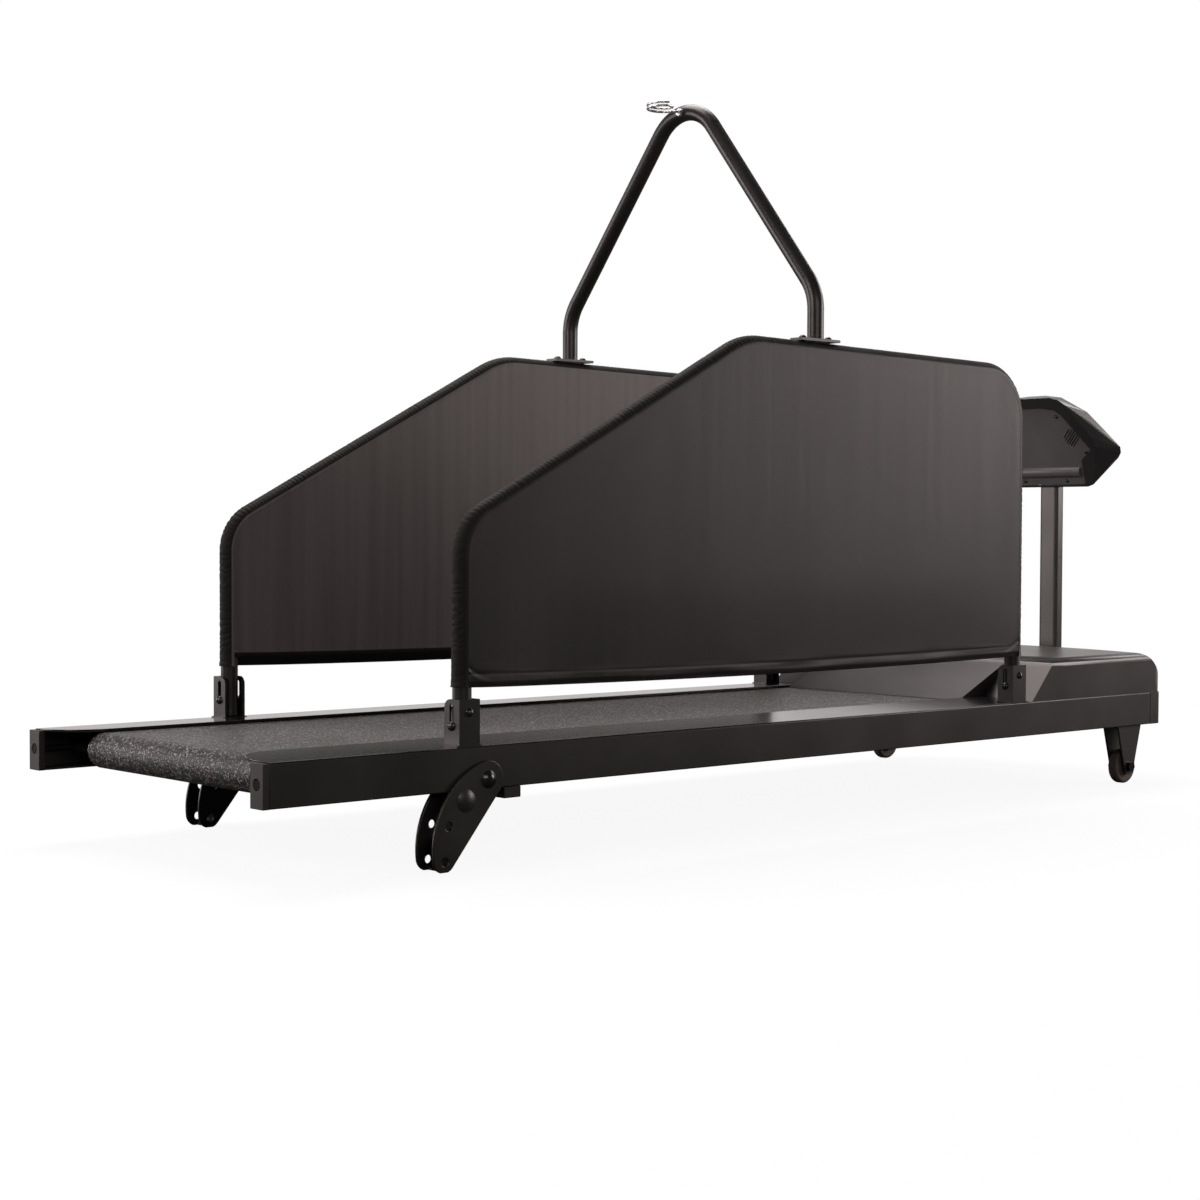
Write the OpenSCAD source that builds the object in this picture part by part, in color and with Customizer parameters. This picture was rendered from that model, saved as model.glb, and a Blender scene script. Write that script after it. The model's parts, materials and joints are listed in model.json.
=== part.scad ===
// Dog treadmill: steel frame, belt deck, motor hood, fabric side guards, leash arch and console.
// It is laid out along +X from the rear end of the rails, on the floor z = 0.
// Right is -Y and left is +Y. The drawn nodes are shifted so that x = 0 is mid-length.

/* [Frame] */
// Length of each side rail, between its end cap and the front bumper
rail_l = 1850; // [1750:5:2000]
// Width over both rails
frame_w = 596; // [570:2:660]
// Height of the rail channel
rail_h = 56; // [54:1:64]
// Flange width of the rail channel
rail_w = 28; // [26:1:32]
// Wall of the rail channel
rail_wall = 3; // [2:0.5:4]
// Height of the rails' underside above the floor
rail_z = 103; // [98:1:115]
// Thickness of the rear end caps
cap_t = 9; // [8:1:14]
// Length of the front bumper from the rail ends to its nose
nose_l = 91; // [80:1:110]
// Radius of the bumper's bowed front, seen from above
bow_r = 830; // [700:10:1200]
// Radius of the bumper's vertical corners
corner_r = 25; // [15:1:35]
// Depth of the flat pad cut into the bumper's nose
nose_flat = 6; // [5:0.5:9]
// Wall of the bumper and the belly pan
pan_t = 2; // [1.5:0.5:2.5]
// Size along the rails of the tubes across the frame
cross_w = 40; // [30:1:50]
// Height of the tubes across the frame
cross_h = 18; // [14:1:20]
// Number of tubes across the frame
cross_n = 3; // [3:1:4]

/* [Foot strips] */
// Width of each foot strip, from the rail's outer face
strip_w = 100; // [95:1:110]
// Thickness of a foot strip at its inner edge
strip_t = 4.5; // [3:0.5:6]
// Thickness of a foot strip at its outer edge, to which it falls
strip_edge_t = 1.2; // [1:0.1:2]
// Radius of the strip's inner rear corner
strip_r = 66; // [40:1:70]

/* [Belt and deck] */
// Width of the running belt
belt_w = 410; // [380:2:420]
// Thickness of the running belt
belt_t = 1.8; // [1.4:0.1:2.2]
// Step from the rails' top down to the belt
belt_drop = 0.9; // [0.6:0.1:1.5]
// Outer diameter of both rollers
roller_d = 46; // [43:1:47]
// Wall of the roller tubes
roller_wall = 3; // [2.5:0.5:4]
// Diameter of both roller axles
axle_d = 17; // [15:1:20]
// Width of a roller bearing
bearing_w = 12; // [10:1:16]
// Rear roller's axis, from the rear end
rear_roller_x = 66; // [60:1:80]
// Front roller's axis, behind the rails' front end
front_roller_back = 300; // [285:1:315]
// Thickness of the deck board
deck_t = 18; // [15:1:20]
// Width of the deck board
deck_w = 480; // [450:2:490]
// Height of the rubber deck cushions
cushion_h = 6; // [5:0.5:8]
// Diameter of the deck cushions
cushion_d = 30; // [20:1:38]
// Diameter of the tension bolts
tension_d = 8; // [6:1:10]

/* [Drive] */
// Diameter of the motor
motor_d = 96; // [85:1:98]
// Length of the motor body
motor_l = 200; // [160:5:220]
// Motor axis, behind the rails' front end
motor_back = 140; // [130:1:150]
// Motor axis above the rails' underside
motor_rise = 60; // [56:1:66]
// Diameter of the motor shaft
shaft_d = 15; // [12:1:18]
// Diameter of the motor pulley
motor_pulley_d = 30; // [26:1:34]
// Diameter of the roller pulley
roller_pulley_d = 48; // [44:1:49]
// Width of both pulleys
pulley_w = 22; // [18:1:26]
// Thickness of the drive belt
drive_t = 2.4; // [2:0.1:3]
// Diameter of the flywheel
flywheel_d = 88; // [70:1:96]

/* [Motor hood] */
// Length of the hood's cheeks on the rails
hood_l = 340; // [335:1:370]
// Height of the hood above the rails
hood_h = 71; // [66:1:85]
// Wall of the hood
hood_wall = 3; // [2:0.5:4]
// Length of the cheeks' rear slope
cheek_run = 64; // [50:1:80]
// How far the middle ramp starts behind the cheeks
ramp_lead = 70; // [50:1:90]
// Length of the middle ramp's slope
ramp_run = 150; // [130:1:160]
// Radius of the hood's rounded front edge
hood_r = 65; // [50:1:65]
// Radius of the hood's shoulders, along its top's side edges
hood_edge_r = 14; // [8:1:20]
// Radius at which the hood's rear slopes bend into its top
hood_brow_r = 45; // [20:1:60]
// Step from the bumper's face back to the hood's face
hood_step = 2; // [1:0.5:4]

/* [Guards] */
// Diameter of the guard and arch tubes
tube_d = 25.4; // [24:0.2:27]
// Wall of the guard and arch tubes
tube_wall = 1.6; // [1.2:0.2:2]
// Rear guard tube's axis, from the rear end
guard_x = 318; // [300:1:340]
// Front guard tube's axis, behind the hood's cheeks
guard_hood_gap = 38; // [35:1:60]
// Height of the guard's rear corner
guard_low_z = 447; // [400:1:500]
// Height of the guard's top rail where the slope ends
guard_top_z = 716; // [650:1:760]
// Fall of the top rail towards the front
guard_fall = 12; // [0:1:20]
// Length of the guard's slope, along the rails
guard_slope_run = 518; // [480:2:560]
// Bend radius at the guard's rear corner
bend_low_r = 62; // [45:1:80]
// Bend radius where the slope meets the top rail
bend_mid_r = 130; // [90:5:160]
// Bend radius at the guard's front corner
bend_front_r = 80; // [60:1:100]
// Thickness of the cover's cloth sleeve and sheet
cloth_t = 1.3; // [1:0.1:2]
// Height of the cover's lower hem above the floor
hem_z = 232; // [228:1:260]
// Width of the cover's lower hem
hem_w = 14; // [8:1:20]

/* [Guard brackets] */
// Height of a guard bracket above the rail
bracket_h = 63; // [60:1:75]
// Plate thickness of a guard bracket
bracket_t = 3; // [2:0.5:3.5]
// Length of a bracket's foot along the rail
bracket_foot = 42; // [40:1:50]
// Reach of a bracket's ears from the rail's outer face
bracket_reach = 32; // [30:1:34]
// Height of the guard bolts above the rail
bolt_rise = 28; // [24:1:32]
// Lift of the guards in the bracket slots
guard_lift = 25; // [20:1:26]
// Diameter of the guard bolts
guard_bolt_d = 8; // [6:1:9]
// Height of the set screws above the rail
set_rise = 46; // [42:1:50]

/* [Leash arch] */
// Arch position, from the rear end
arch_x = 994; // [920:2:1060]
// Height of the corners where the arch's legs lean in
arch_corner_z = 804; // [790:1:850]
// Height at which the arch's two slopes would meet
arch_apex_z = 1156; // [1080:2:1200]
// Bend radius of the arch's corners
arch_corner_r = 76; // [50:1:80]
// Bend radius of the arch's apex
arch_apex_r = 76; // [50:1:90]
// Length of the arch's foot plates
arch_foot_l = 84; // [76:1:100]
// Thickness of the arch's foot plates
arch_foot_t = 4; // [3:0.5:6]
// Distance of the arch screws from the leg's axis
arch_screw_x = 28; // [26:1:32]
// Wire diameter of the leash hook
hook_d = 4; // [3:0.5:4.5]
// Radius of the leash hook's loops
hook_r = 20; // [16:1:26]
// Rise of the leash hook's wire in a turn
hook_pitch = 5.5; // [5.5:0.5:8]
// Turns of the leash hook
hook_turns = 1.75; // [1.5:0.25:2]

/* [Rear legs] */
// Leg pivot, from the rear end
leg_x = 346; // [340:1:380]
// Leg pivot above the rails' underside
leg_rise = 13; // [12:1:16]
// How far the foot stands behind the pivot
leg_rake = 73; // [60:1:85]
// Radius of the leg's head around the pivot
leg_head_r = 25; // [22:1:27]
// Radius of the leg's foot
leg_foot_r = 18; // [16:1:22]
// Radius of the leg's bulged rear edge
leg_bulge_r = 117; // [105:1:140]
// Thickness of a leg plate
leg_t = 4.5; // [3:0.5:6]
// Depth of the flat cut under the foot
foot_flat = 1; // [0.5:0.1:2]
// Diameter of the leg pivot bolts
pivot_d = 12; // [10:1:14]
// Diameter of the incline pins
pin_d = 11; // [9:0.5:12]
// Diameter of the sleeve that stops against the rail
sleeve_d = 24.4; // [20:0.2:26]
// Diameter of the incline pin's cap
pin_cap_d = 30; // [24:1:32]
// Size along the rail of the pads under the rails
pad_l = 29; // [20:1:36]
// Height of the pads under the rails
pad_h = 15.5; // [12:0.5:20]

/* [Wheels] */
// Diameter of the transport wheels
wheel_d = 60; // [52:1:64]
// Width of the wheels' tread
wheel_w = 18; // [16:1:22]
// Wheel axis, behind the rails' front end
wheel_back = 51; // [45:1:60]
// Gap between the two plates of a wheel fork
fork_gap = 25; // [24:0.5:28]
// Plate thickness of a wheel fork
fork_t = 3.5; // [2.5:0.5:4]
// Length of a fork along the rail, at the top
fork_top_l = 68; // [60:1:80]
// Radius of a fork's lower end
fork_end_r = 14; // [12:0.5:18]
// Diameter of the wheel bolts
wheel_bolt_d = 10; // [8:1:12]

/* [Console] */
// Width of the console post
post_w = 40; // [30:1:50]
// Depth of the console post
post_d = 24; // [20:1:28]
// Wall of the console post
post_wall = 2; // [1.5:0.5:2.5]
// Height of the console's lower edge above the floor
con_z = 530; // [480:2:600]
// Lean of the console from upright
con_tilt = 24; // [20:1:28]
// Thickness of the console
con_t = 42; // [40:1:50]
// Wall of the console housing
con_wall = 2.6; // [2:0.2:3]
// Width of the console's widest part
con_w = 311; // [290:1:330]
// Height of the console along its face
con_h = 178; // [174:1:200]
// Width of the display window
lens_w = 120; // [100:2:126]
// Height of the display window
lens_h = 40; // [34:1:44]
// Diameter of the push buttons
button_d = 15; // [12:0.5:18]
// Distance between the push buttons
button_step = 38; // [34:1:42]
// Diameter of a speaker and its grille
speaker_d = 38; // [30:1:38]

/* [Hidden] */
$fn = 96;
// Finer rounding for the widely bowed front
bow_fn = 360;
// Clearance between pieces that pass each other
gap = 0.3;
// Clearance between a shaft and its bore, on the radius
run = 0.05;
// Clearance of a bolt or screw in its hole, on the radius
slack = 0.2;
// Extra depth that lets a cut break through a face
cut = 1;
// Gap, overlap and extra thickness of the seam rings in bent tubes
seam = 0.5;
seam_l = 2;
seam_t = 0.1;

half_w = frame_w / 2;
rail_in = half_w - rail_w;
web_in = half_w - rail_wall;
rail_top = rail_z + rail_h;
rail_x1 = cap_t + rail_l;
rail_mid_y = half_w - rail_w / 2;
nose_x = rail_x1 + nose_l;
bow_x = nose_x - bow_r;
flat_x = nose_x - nose_flat;

belt_top = rail_top - belt_drop;
roller_z = belt_top - belt_t - gap - roller_d / 2;
roller_l = belt_w + 10;
front_roller_x = rail_x1 - front_roller_back;
deck_top = belt_top - belt_t - slack;
deck_bot = deck_top - deck_t;
cross_top = deck_bot - cushion_h;
deck_x0 = rear_roller_x + roller_d / 2 + 22;
deck_x1 = front_roller_x - roller_d / 2 - 22;
leg_sweep = 150;
cross_x0 = leg_x + leg_sweep + cross_w / 2;
cross_x1 = deck_x1 - 2 * cross_w;
cross_rear_x = deck_x0 + cross_w;
cross_step = (cross_x1 - cross_x0) / (cross_n - 1);
cross_xs = concat([cross_rear_x], [for (i = [0 : cross_n - 1]) cross_x0 + i * cross_step]);
cushion_y = deck_w / 2 - 20;
pan_x0 = front_roller_x + roller_d / 2 + belt_t + 12;
tension_head_d = tension_d + 5;
tension_head_h = cap_t - 3.5;

cheek_x = rail_x1 - hood_l;
hood_top = rail_top + hood_h;
ramp_x = cheek_x - ramp_lead;
ramp_half = half_w - strip_w - 2;
strip_x1 = cheek_x - 2;
hood_face = bow_r - hood_step;
brow_n = 10;
hood_screw_y = 120;
hood_screw_z = rail_top + 11;
hood_screw_d = 4;
hood_screw_head = 9;
hood_screw_x = bow_x + sqrt(pow(hood_face, 2) - pow(hood_screw_y, 2)) - 2.2;
tab_w = 20;
tab_t = 6;
tab_x = hood_screw_x - hood_wall - 2;

motor_x = rail_x1 - motor_back;
motor_z = rail_z + motor_rise;
motor_y0 = -70;
motor_y1 = motor_y0 + motor_l;
pulley_y = roller_l / 2;
flywheel_w = 16;
flywheel_y = motor_y1 + 12;
cradle_l = 90;
cradle_w = 100;
control_l = 76;
control_w = 160;
control_h = 44;
control_y = -150;
control_x = motor_x + motor_d / 2 + 24;

tube_y = web_in - 0.8 - tube_d / 2;
guard_x1 = cheek_x - guard_hood_gap;
tube_foot_z = rail_top + bracket_t + 2;
guard_path = [[guard_x, tube_foot_z], [guard_x, guard_low_z], [guard_x + guard_slope_run, guard_top_z],
    [guard_x1, guard_top_z - guard_fall], [guard_x1, tube_foot_z]];
guard_bends = [0, bend_low_r, bend_mid_r, bend_front_r, 0];
cover_path = [[guard_x, hem_z], guard_path[1], guard_path[2], guard_path[3], [guard_x1, hem_z]];
cover_bore = tube_d + 2 * gap;
cover_d = cover_bore + 2 * cloth_t;
hem_t = 3 * cloth_t;
sheet_t = 2 * cloth_t;
bolt_z = rail_top + bolt_rise;
ear_x = tube_d / 2 + 1.5;
ear_corner = 12;
bolt_head_d = guard_bolt_d + 5;
bolt_head_h = 5;
set_d = 6;
set_head_d = 12;
set_z = rail_top + set_rise;

// Height of the top rail's axis where the arch stands
top_slope = guard_fall / (guard_x1 - guard_x - guard_slope_run);
arch_seat = guard_top_z - top_slope * (arch_x - guard_x - guard_slope_run);
arch_foot_z = arch_seat + cover_d / 2 + slack + top_slope * arch_foot_l / 2;
arch_path = [[-tube_y, arch_foot_z + arch_foot_t / 2], [-tube_y, arch_corner_z], [0, arch_apex_z],
    [tube_y, arch_corner_z], [tube_y, arch_foot_z + arch_foot_t / 2]];
arch_bends = [0, arch_corner_r, arch_apex_r, arch_corner_r, 0];
arch_lean = atan2(tube_y, arch_apex_z - arch_corner_z);
arch_crown_z = arch_apex_z - arch_apex_r * (1 / sin(arch_lean) - 1);
arch_screw_d = 6;
arch_screw_head = 13;
arch_screw_l = tube_d * 0.8;

hook_nut_d = 12;
hook_nut_l = 6;
hook_bend = 7;
hook_stem_l = 6;
hook_z = arch_crown_z - 1;
hook_stem_x = arch_x - tube_d / 2 - hook_nut_l;
hook_bend_x = hook_stem_x - hook_stem_l;
hook_steps = 24;
hook_sides = 10;

pivot = [leg_x, rail_z + leg_rise];
foot = [leg_x - leg_rake, leg_foot_r - foot_flat];
leg_out = half_w + 1;
leg_in = rail_in - 1.5;
web_l = 55;
bulge_c = arc_centre(pivot, leg_bulge_r - leg_head_r, foot, leg_bulge_r - leg_foot_r);
leg_front = front_normal(foot - pivot, leg_head_r, leg_foot_r);
pin_at = [pivot.x - 37.5, rail_z - gap - sleeve_d / 2];
spare_back = 66;
spare_drop = 43.5;
spare_pins = [[pivot.x - spare_back, rail_z - spare_drop], [foot.x + 1, foot.y - 3]];
pivot_head_d = 24;
pivot_head_h = 5;
pin_cap_h = 4;
pad_x = pivot.x + 32;
pad_y0 = rail_in + 3;
pad_y1 = half_w - 2;

wheel_x = rail_x1 - wheel_back;
wheel_z = wheel_d / 2;
fork_out = half_w - 8;
fork_in = fork_out - 2 * fork_t - fork_gap;
wheel_y = (fork_out + fork_in) / 2;
wheel_hub_d = 22;
wheel_bolt_head = 18;
wheel_head_h = 6;

post_x = flat_x + 12;
post_z0 = rail_z + 5;
post_plate_w = 72;
post_bolt_d = 8;
post_bolt_zs = [rail_z + 18, rail_z + 42];
con_x = post_x - 6;
back_w0 = 4;
back_t = 3;
head_w0 = back_w0 + back_t;
head_t = 13;
head_w = 120;
head_h = 43;
// Points on the console, given as shares of its width and height
function on_console(shares) = [for (p = shares) [p.x * con_w, p.y * con_h]];
// Half outlines of the console's rear and front rims, from the bottom up
rear_half = on_console([[0.3055, -0.0112], [0.3457, 0.0112], [0.4309, 0.427], [0.4116, 0.5393],
    [0.283, 0.8989], [0.2315, 0.9719], [0.1865, 0.9944]]);
front_half = on_console([[0.3055, 0.011236], [0.328, 0.0449], [0.4019, 0.1517], [0.4695, 0.2135],
    [0.4952, 0.2697], [0.5, 0.3315], [0.4437, 0.4663], [0.3264, 0.736], [0.1672, 0.9101], [0.0643, 0.9382]]);
// Half outline of the back panel
back_half = on_console([[0.2894, 0.0084], [0.3023, 0.2865], [0.3859, 0.4045], [0.2379, 0.7921],
    [0.1897, 0.8567], [0.0965, 0.8848]]);
lip_t = 5;
front_w0 = con_t - 4;
boss_at = on_console([[0.1929, 0.7753], [0.3408, 0.3708]]);
boss_d = 9;
boss_screw_d = 3.4;
boss_head_d = 8;
lip_screw = [48, 9];
speaker_at = on_console([[0.2637, 0.5337]])[0];
speaker_h = 12;
grille_slots = 6;
grille_slot = 2.4;
grille_lean = -45;
ridge_d = 20;
ridge_v = 27;
ridge_l = 170;
lens_v = con_h * 0.685;
lens_t = 1.8;
lens_rim = 5;
button_v = 86;
button_ys = [for (i = [-1.5 : 1 : 1.5]) i * button_step];
button_travel = 1.5;
button_proud = 1.6;
button_flange = 1.5;
board_w = front_w0 - 10;
board_t = 1.6;
board_half = 56;
board_v0 = 62;
board_v1 = con_h - 28;
board_post_d = 7;
board_posts = [[board_half - 8, board_v0 + 6], [board_half - 8, board_v1 - 5]];

inlet_y = 70;
inlet_z = rail_z + rail_h / 2;
inlet_w = 48;
inlet_h = 26;
inlet_deep = 24;
inlet_rim = 3;
inlet_rim_t = 2.5;
socket_w = 24;
socket_h = 17;
socket_deep = 16;
socket_y = inlet_y - 10;
rocker_y = inlet_y + 14;
rocker_w = 12.4;
rocker_h = 18;
rocker_t = 8;
rocker_room = 1.2;
rocker_stub_d = 3;
rocker_rest = 7;

overall_l = con_x + con_t * cos(con_tilt) - front_half[0].y * sin(con_tilt);

// Unit vector along v
function unit(v) = v / norm(v);

// Where circles of radii rp and rq around p and q meet, on the left of the way from p to q
function arc_centre(p, rp, q, rq) =
    let (far = norm(q - p), u = unit(q - p), a = (rp * rp - rq * rq + far * far) / (2 * far))
    p + a * u + sqrt(rp * rp - a * a) * [-u.y, u.x];

// Outward normal of the line that touches two circles on the same side, d apart
function front_normal(d, r1, r2) =
    let (a = atan2(d.y, d.x) + acos((r1 - r2) / norm(d))) [cos(a), sin(a)];

// Turn at corner i of a path, its tangent length, and the two points where its bend starts and ends
function way_in(p, i) = unit(p[i] - p[i - 1]);
function way_out(p, i) = unit(p[i + 1] - p[i]);
function turn(p, i) = acos(way_in(p, i) * way_out(p, i));
function tangent(p, r, i) = r[i] == 0 ? 0 : r[i] * tan(turn(p, i) / 2);
function bend_start(p, r, i) = r[i] == 0 ? p[i] : p[i] - way_in(p, i) * tangent(p, r, i);
function bend_end(p, r, i) = r[i] == 0 ? p[i] : p[i] + way_out(p, i) * tangent(p, r, i);
function bend_left(p, i) = cross(way_in(p, i), way_out(p, i)) > 0;
function bend_centre(p, r, i) =
    let (u = way_in(p, i), n = [-u.y, u.x]) bend_start(p, r, i) + (bend_left(p, i) ? 1 : -1) * r[i] * n;

// A half outline and its mirror image, as one closed outline
function whole(half) =
    concat(half, [for (i = [len(half) - 1 : -1 : 0]) [-half[i].x, half[i].y]]);

// Shifts the build frame so that x = 0 is mid-length
module place() {
    translate([-overall_l / 2, 0, 0]) children();
}

// A piece on the left and its mirror image on the right
module pair() {
    children();
    mirror([0, 1, 0]) children();
}

module rod_y(d, y0, y1) {
    translate([0, y0, 0]) rotate([-90, 0, 0]) cylinder(d = d, h = y1 - y0);
}

module rod_x(d, x0, x1) {
    translate([x0, 0, 0]) rotate([0, 90, 0]) cylinder(d = d, h = x1 - x0);
}

// A drawing in x and z, made thick from y0 to y1
module slab_y(y0, y1) {
    translate([0, y1, 0]) rotate([90, 0, 0]) linear_extrude(y1 - y0) children();
}

// A drawing in y and z, made thick from x0 to x1
module slab_x(x0, x1) {
    translate([x0, 0, 0]) rotate([90, 0, 90]) linear_extrude(x1 - x0) children();
}

module box(x, y, z) {
    translate([x[0], y[0], z[0]]) cube([x[1] - x[0], y[1] - y[0], z[1] - z[0]]);
}

// A domed screw head standing on z = 0
module dome(d, h) {
    r = (d * d / 4 + h * h) / (2 * h);
    intersection() {
        translate([0, 0, h - r]) sphere(r = r);
        cylinder(d = d, h = h);
    }
}

// A short tube along x
module ring_x(d, wall, x0, x1) {
    difference() {
        rod_x(d, x0, x1);
        rod_x(d - 2 * wall, x0 - cut, x1 + cut);
    }
}

// A tube along a path in the xy plane, bent at its corners: a seam ring joins each bend to its runs
module bent_tube(p, r, d, wall, ring_wall) {
    n = len(p) - 1;
    for (i = [0 : n - 1]) {
        a = i == 0 ? p[0] : bend_end(p, r, i);
        b = i + 1 == n ? p[n] : bend_start(p, r, i + 1);
        l = norm(b - a);
        translate(a) rotate([0, 0, atan2(b.y - a.y, b.x - a.x)]) {
            ring_x(d, wall, i == 0 ? 0 : seam, i + 1 == n ? l : l - seam);
            if (i > 0) ring_x(d + 2 * seam_t, ring_wall, -seam_l, seam_l);
            if (i + 1 < n) ring_x(d + 2 * seam_t, ring_wall, l - seam_l, l + seam_l);
        }
    }
    for (i = [1 : n - 1]) {
        c = bend_centre(p, r, i);
        from = (bend_left(p, i) ? bend_start(p, r, i) : bend_end(p, r, i)) - c;
        short = asin(seam / r[i]);
        translate(c) rotate([0, 0, atan2(from.y, from.x) + short])
            rotate_extrude(angle = turn(p, i) - 2 * short) translate([r[i], 0]) difference() {
                circle(d = d);
                circle(d = d - 2 * wall);
            }
    }
}

// The belt's side view: two round ends joined by straight runs, inset for its inner face
module belt_loop(r) {
    translate([rear_roller_x, roller_z]) circle(r = r);
    translate([front_roller_x, roller_z]) circle(r = r);
    translate([rear_roller_x, roller_z - r]) square([front_roller_x - rear_roller_x, 2 * r]);
}

// The bumper's plan, drawn in by an inset: a bowed front with round corners
module bow_plan(inset) {
    y = half_w - inset;
    r = bow_r - inset;
    rc = corner_r - inset;
    c = [bow_x + sqrt(pow(r - rc, 2) - pow(y - rc, 2)), y - rc];
    e = unit(c - [bow_x, 0]);
    difference() {
        intersection() {
            translate([bow_x, 0]) circle(r = r, $fn = bow_fn);
            translate([bow_x, -y]) square([bow_r, 2 * y]);
        }
        for (s = [1, -1])
            scale([1, s]) polygon([c, [c.x, y + 5], [c.x + 4 * corner_r, y + 5], c + 4 * corner_r * e]);
    }
    for (s = [1, -1]) translate([c.x, s * c.y]) circle(r = rc);
}

// Side rails: steel channels, open to the inside, with holes for the leg pivots
module rail() {
    difference() {
        box([cap_t, rail_x1], [rail_in, half_w], [rail_z, rail_top]);
        box([cap_t - cut, rail_x1 + cut], [rail_in - cut, web_in],
            [rail_z + rail_wall, rail_top - rail_wall]);
        translate([pivot.x, 0, pivot.y]) rod_y(pivot_d + 2 * slack, web_in - cut, half_w + cut);
    }
}

module right_rail() { color("#1b1a1a") mirror([0, 1, 0]) rail(); }

module left_rail() { color("#1b1a1a") rail(); }

// End caps: plastic plugs with a sunk seat for the tension bolt's head
module rail_end_caps() {
    color("#151515") pair() difference() {
        box([0, cap_t], [rail_in, half_w], [rail_z, rail_top]);
        translate([0, rail_mid_y, roller_z]) {
            rod_x(tension_d + 2 * slack, -cut, cap_t + cut);
            rod_x(tension_head_d + 2, -cut, tension_head_h + gap);
        }
    }
}

// Cross members: rectangular tubes between the rails' webs, inside the belt's loop
module cross_members() {
    wall = 2;
    color("#222222") for (x = cross_xs) difference() {
        box([x - cross_w / 2, x + cross_w / 2], [-web_in, web_in], [cross_top - cross_h, cross_top]);
        box([x - cross_w / 2 + wall, x + cross_w / 2 - wall], [-web_in - cut, web_in + cut],
            [cross_top - cross_h + wall, cross_top - wall]);
    }
}

// Belly pan with the bowed bumper: the post, the inlet and the hood's tabs are fixed to it
module belly_pan() {
    wall = pan_t + 1;
    color("#1b1a1a") difference() {
        union() {
            translate([0, 0, rail_z]) {
                intersection() {
                    linear_extrude(rail_h) difference() {
                        bow_plan(0);
                        bow_plan(wall);
                    }
                    box([rail_x1, nose_x + cut], [-half_w, half_w], [0, rail_h]);
                }
                intersection() {
                    linear_extrude(pan_t) bow_plan(wall / 2);
                    box([rail_x1, nose_x], [-half_w, half_w], [0, pan_t]);
                }
                box([pan_x0, rail_x1], [-rail_in + gap, rail_in - gap], [0, pan_t]);
                intersection() {
                    linear_extrude(rail_h) bow_plan(wall / 2);
                    box([flat_x - wall, flat_x], [-half_w / 2, half_w / 2], [0, rail_h]);
                }
            }
            pair() box([tab_x - tab_t, tab_x], [hood_screw_y - tab_w / 2, hood_screw_y + tab_w / 2],
                [rail_z, hood_screw_z + 8]);
        }
        box([flat_x, nose_x + cut], [-half_w, half_w], [rail_z - cut, rail_top + cut]);
        box([flat_x - wall - cut, flat_x + cut], [inlet_y - inlet_w / 2 - gap, inlet_y + inlet_w / 2 + gap],
            [inlet_z - inlet_h / 2 - gap, inlet_z + inlet_h / 2 + gap]);
        for (z = post_bolt_zs) translate([0, 0, z])
            rod_x(post_bolt_d + 2 * slack, flat_x - 2 * wall, flat_x + cut);
        pair() translate([0, hood_screw_y, hood_screw_z])
            rod_x(hood_screw_d + 2 * slack, tab_x - tab_t - cut, tab_x + cut);
    }
}

// Foot strips: moulded treads over the rails and the belt's edges, notched for the guard brackets
module foot_strip() {
    difference() {
        slab_x(cap_t, strip_x1) polygon([[half_w - strip_w, rail_top], [half_w, rail_top],
            [half_w, rail_top + strip_edge_t], [half_w - strip_w, rail_top + strip_t]]);
        translate([cap_t, half_w - strip_w, rail_top]) difference() {
            translate([-cut, -cut, -cut]) cube([strip_r + cut, strip_r + cut, strip_t + 2 * cut]);
            translate([strip_r, strip_r, -2 * cut]) cylinder(r = strip_r, h = strip_t + 4 * cut);
        }
        for (x = [guard_x, guard_x1])
            box([x - bracket_foot / 2 - gap, x + bracket_foot / 2 + gap],
                [half_w - bracket_reach - gap, half_w + cut], [rail_top - cut, rail_top + strip_t + cut]);
    }
}

module right_foot_strip() { color("#0e0e0f") mirror([0, 1, 0]) foot_strip(); }

module left_foot_strip() { color("#0e0e0f") foot_strip(); }

// Deck board under the belt
module deck_board() {
    color("#3a3230") box([deck_x0, deck_x1], [-deck_w / 2, deck_w / 2], [deck_bot, deck_top]);
}

// Rubber cushions between the deck board and the cross members
module deck_cushions() {
    color("#202020") for (x = cross_xs) pair()
        translate([x, cushion_y, cross_top]) cylinder(d = cushion_d, h = cushion_h);
}

// Running belt: an endless loop round both rollers
module running_belt() {
    inner = roller_d / 2 + gap;
    color("#17171a") slab_y(-belt_w / 2, belt_w / 2) difference() {
        belt_loop(inner + belt_t);
        belt_loop(inner);
    }
}

// A roller tube, centred on its axle
module roller() {
    difference() {
        rod_y(roller_d, -roller_l / 2, roller_l / 2);
        rod_y(roller_d - 2 * roller_wall, -roller_l / 2 - cut, roller_l / 2 + cut);
    }
}

// The two bearings in a roller's ends
module bearings() {
    pair() difference() {
        rod_y(roller_d - 2 * roller_wall - 2 * run, roller_l / 2 - bearing_w, roller_l / 2);
        rod_y(axle_d + 2 * run, roller_l / 2 - bearing_w - cut, roller_l / 2 + cut);
    }
}

module rear_roller() { color("#8d8f92") translate([rear_roller_x, 0, roller_z]) roller(); }

module roller_bearings() {
    color("#b5b7ba") for (x = [rear_roller_x, front_roller_x]) translate([x, 0, roller_z]) bearings();
}

// Rear axle: hangs on the two tension bolts that pass through its ends
module rear_axle() {
    color("#2a2a2b") translate([rear_roller_x, 0, roller_z]) difference() {
        rod_y(axle_d, -web_in + gap, web_in - gap);
        pair() translate([0, rail_mid_y, 0]) rod_x(tension_d + 2 * slack, -axle_d, axle_d);
    }
}

// Tension bolts: through the end caps into the rear axle
module tension_bolts() {
    color("#3a3a3c") pair() translate([0, rail_mid_y, roller_z]) {
        rod_x(tension_head_d, gap, tension_head_h + gap);
        rod_x(tension_d, tension_head_h, rear_roller_x + 45);
    }
}

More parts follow.
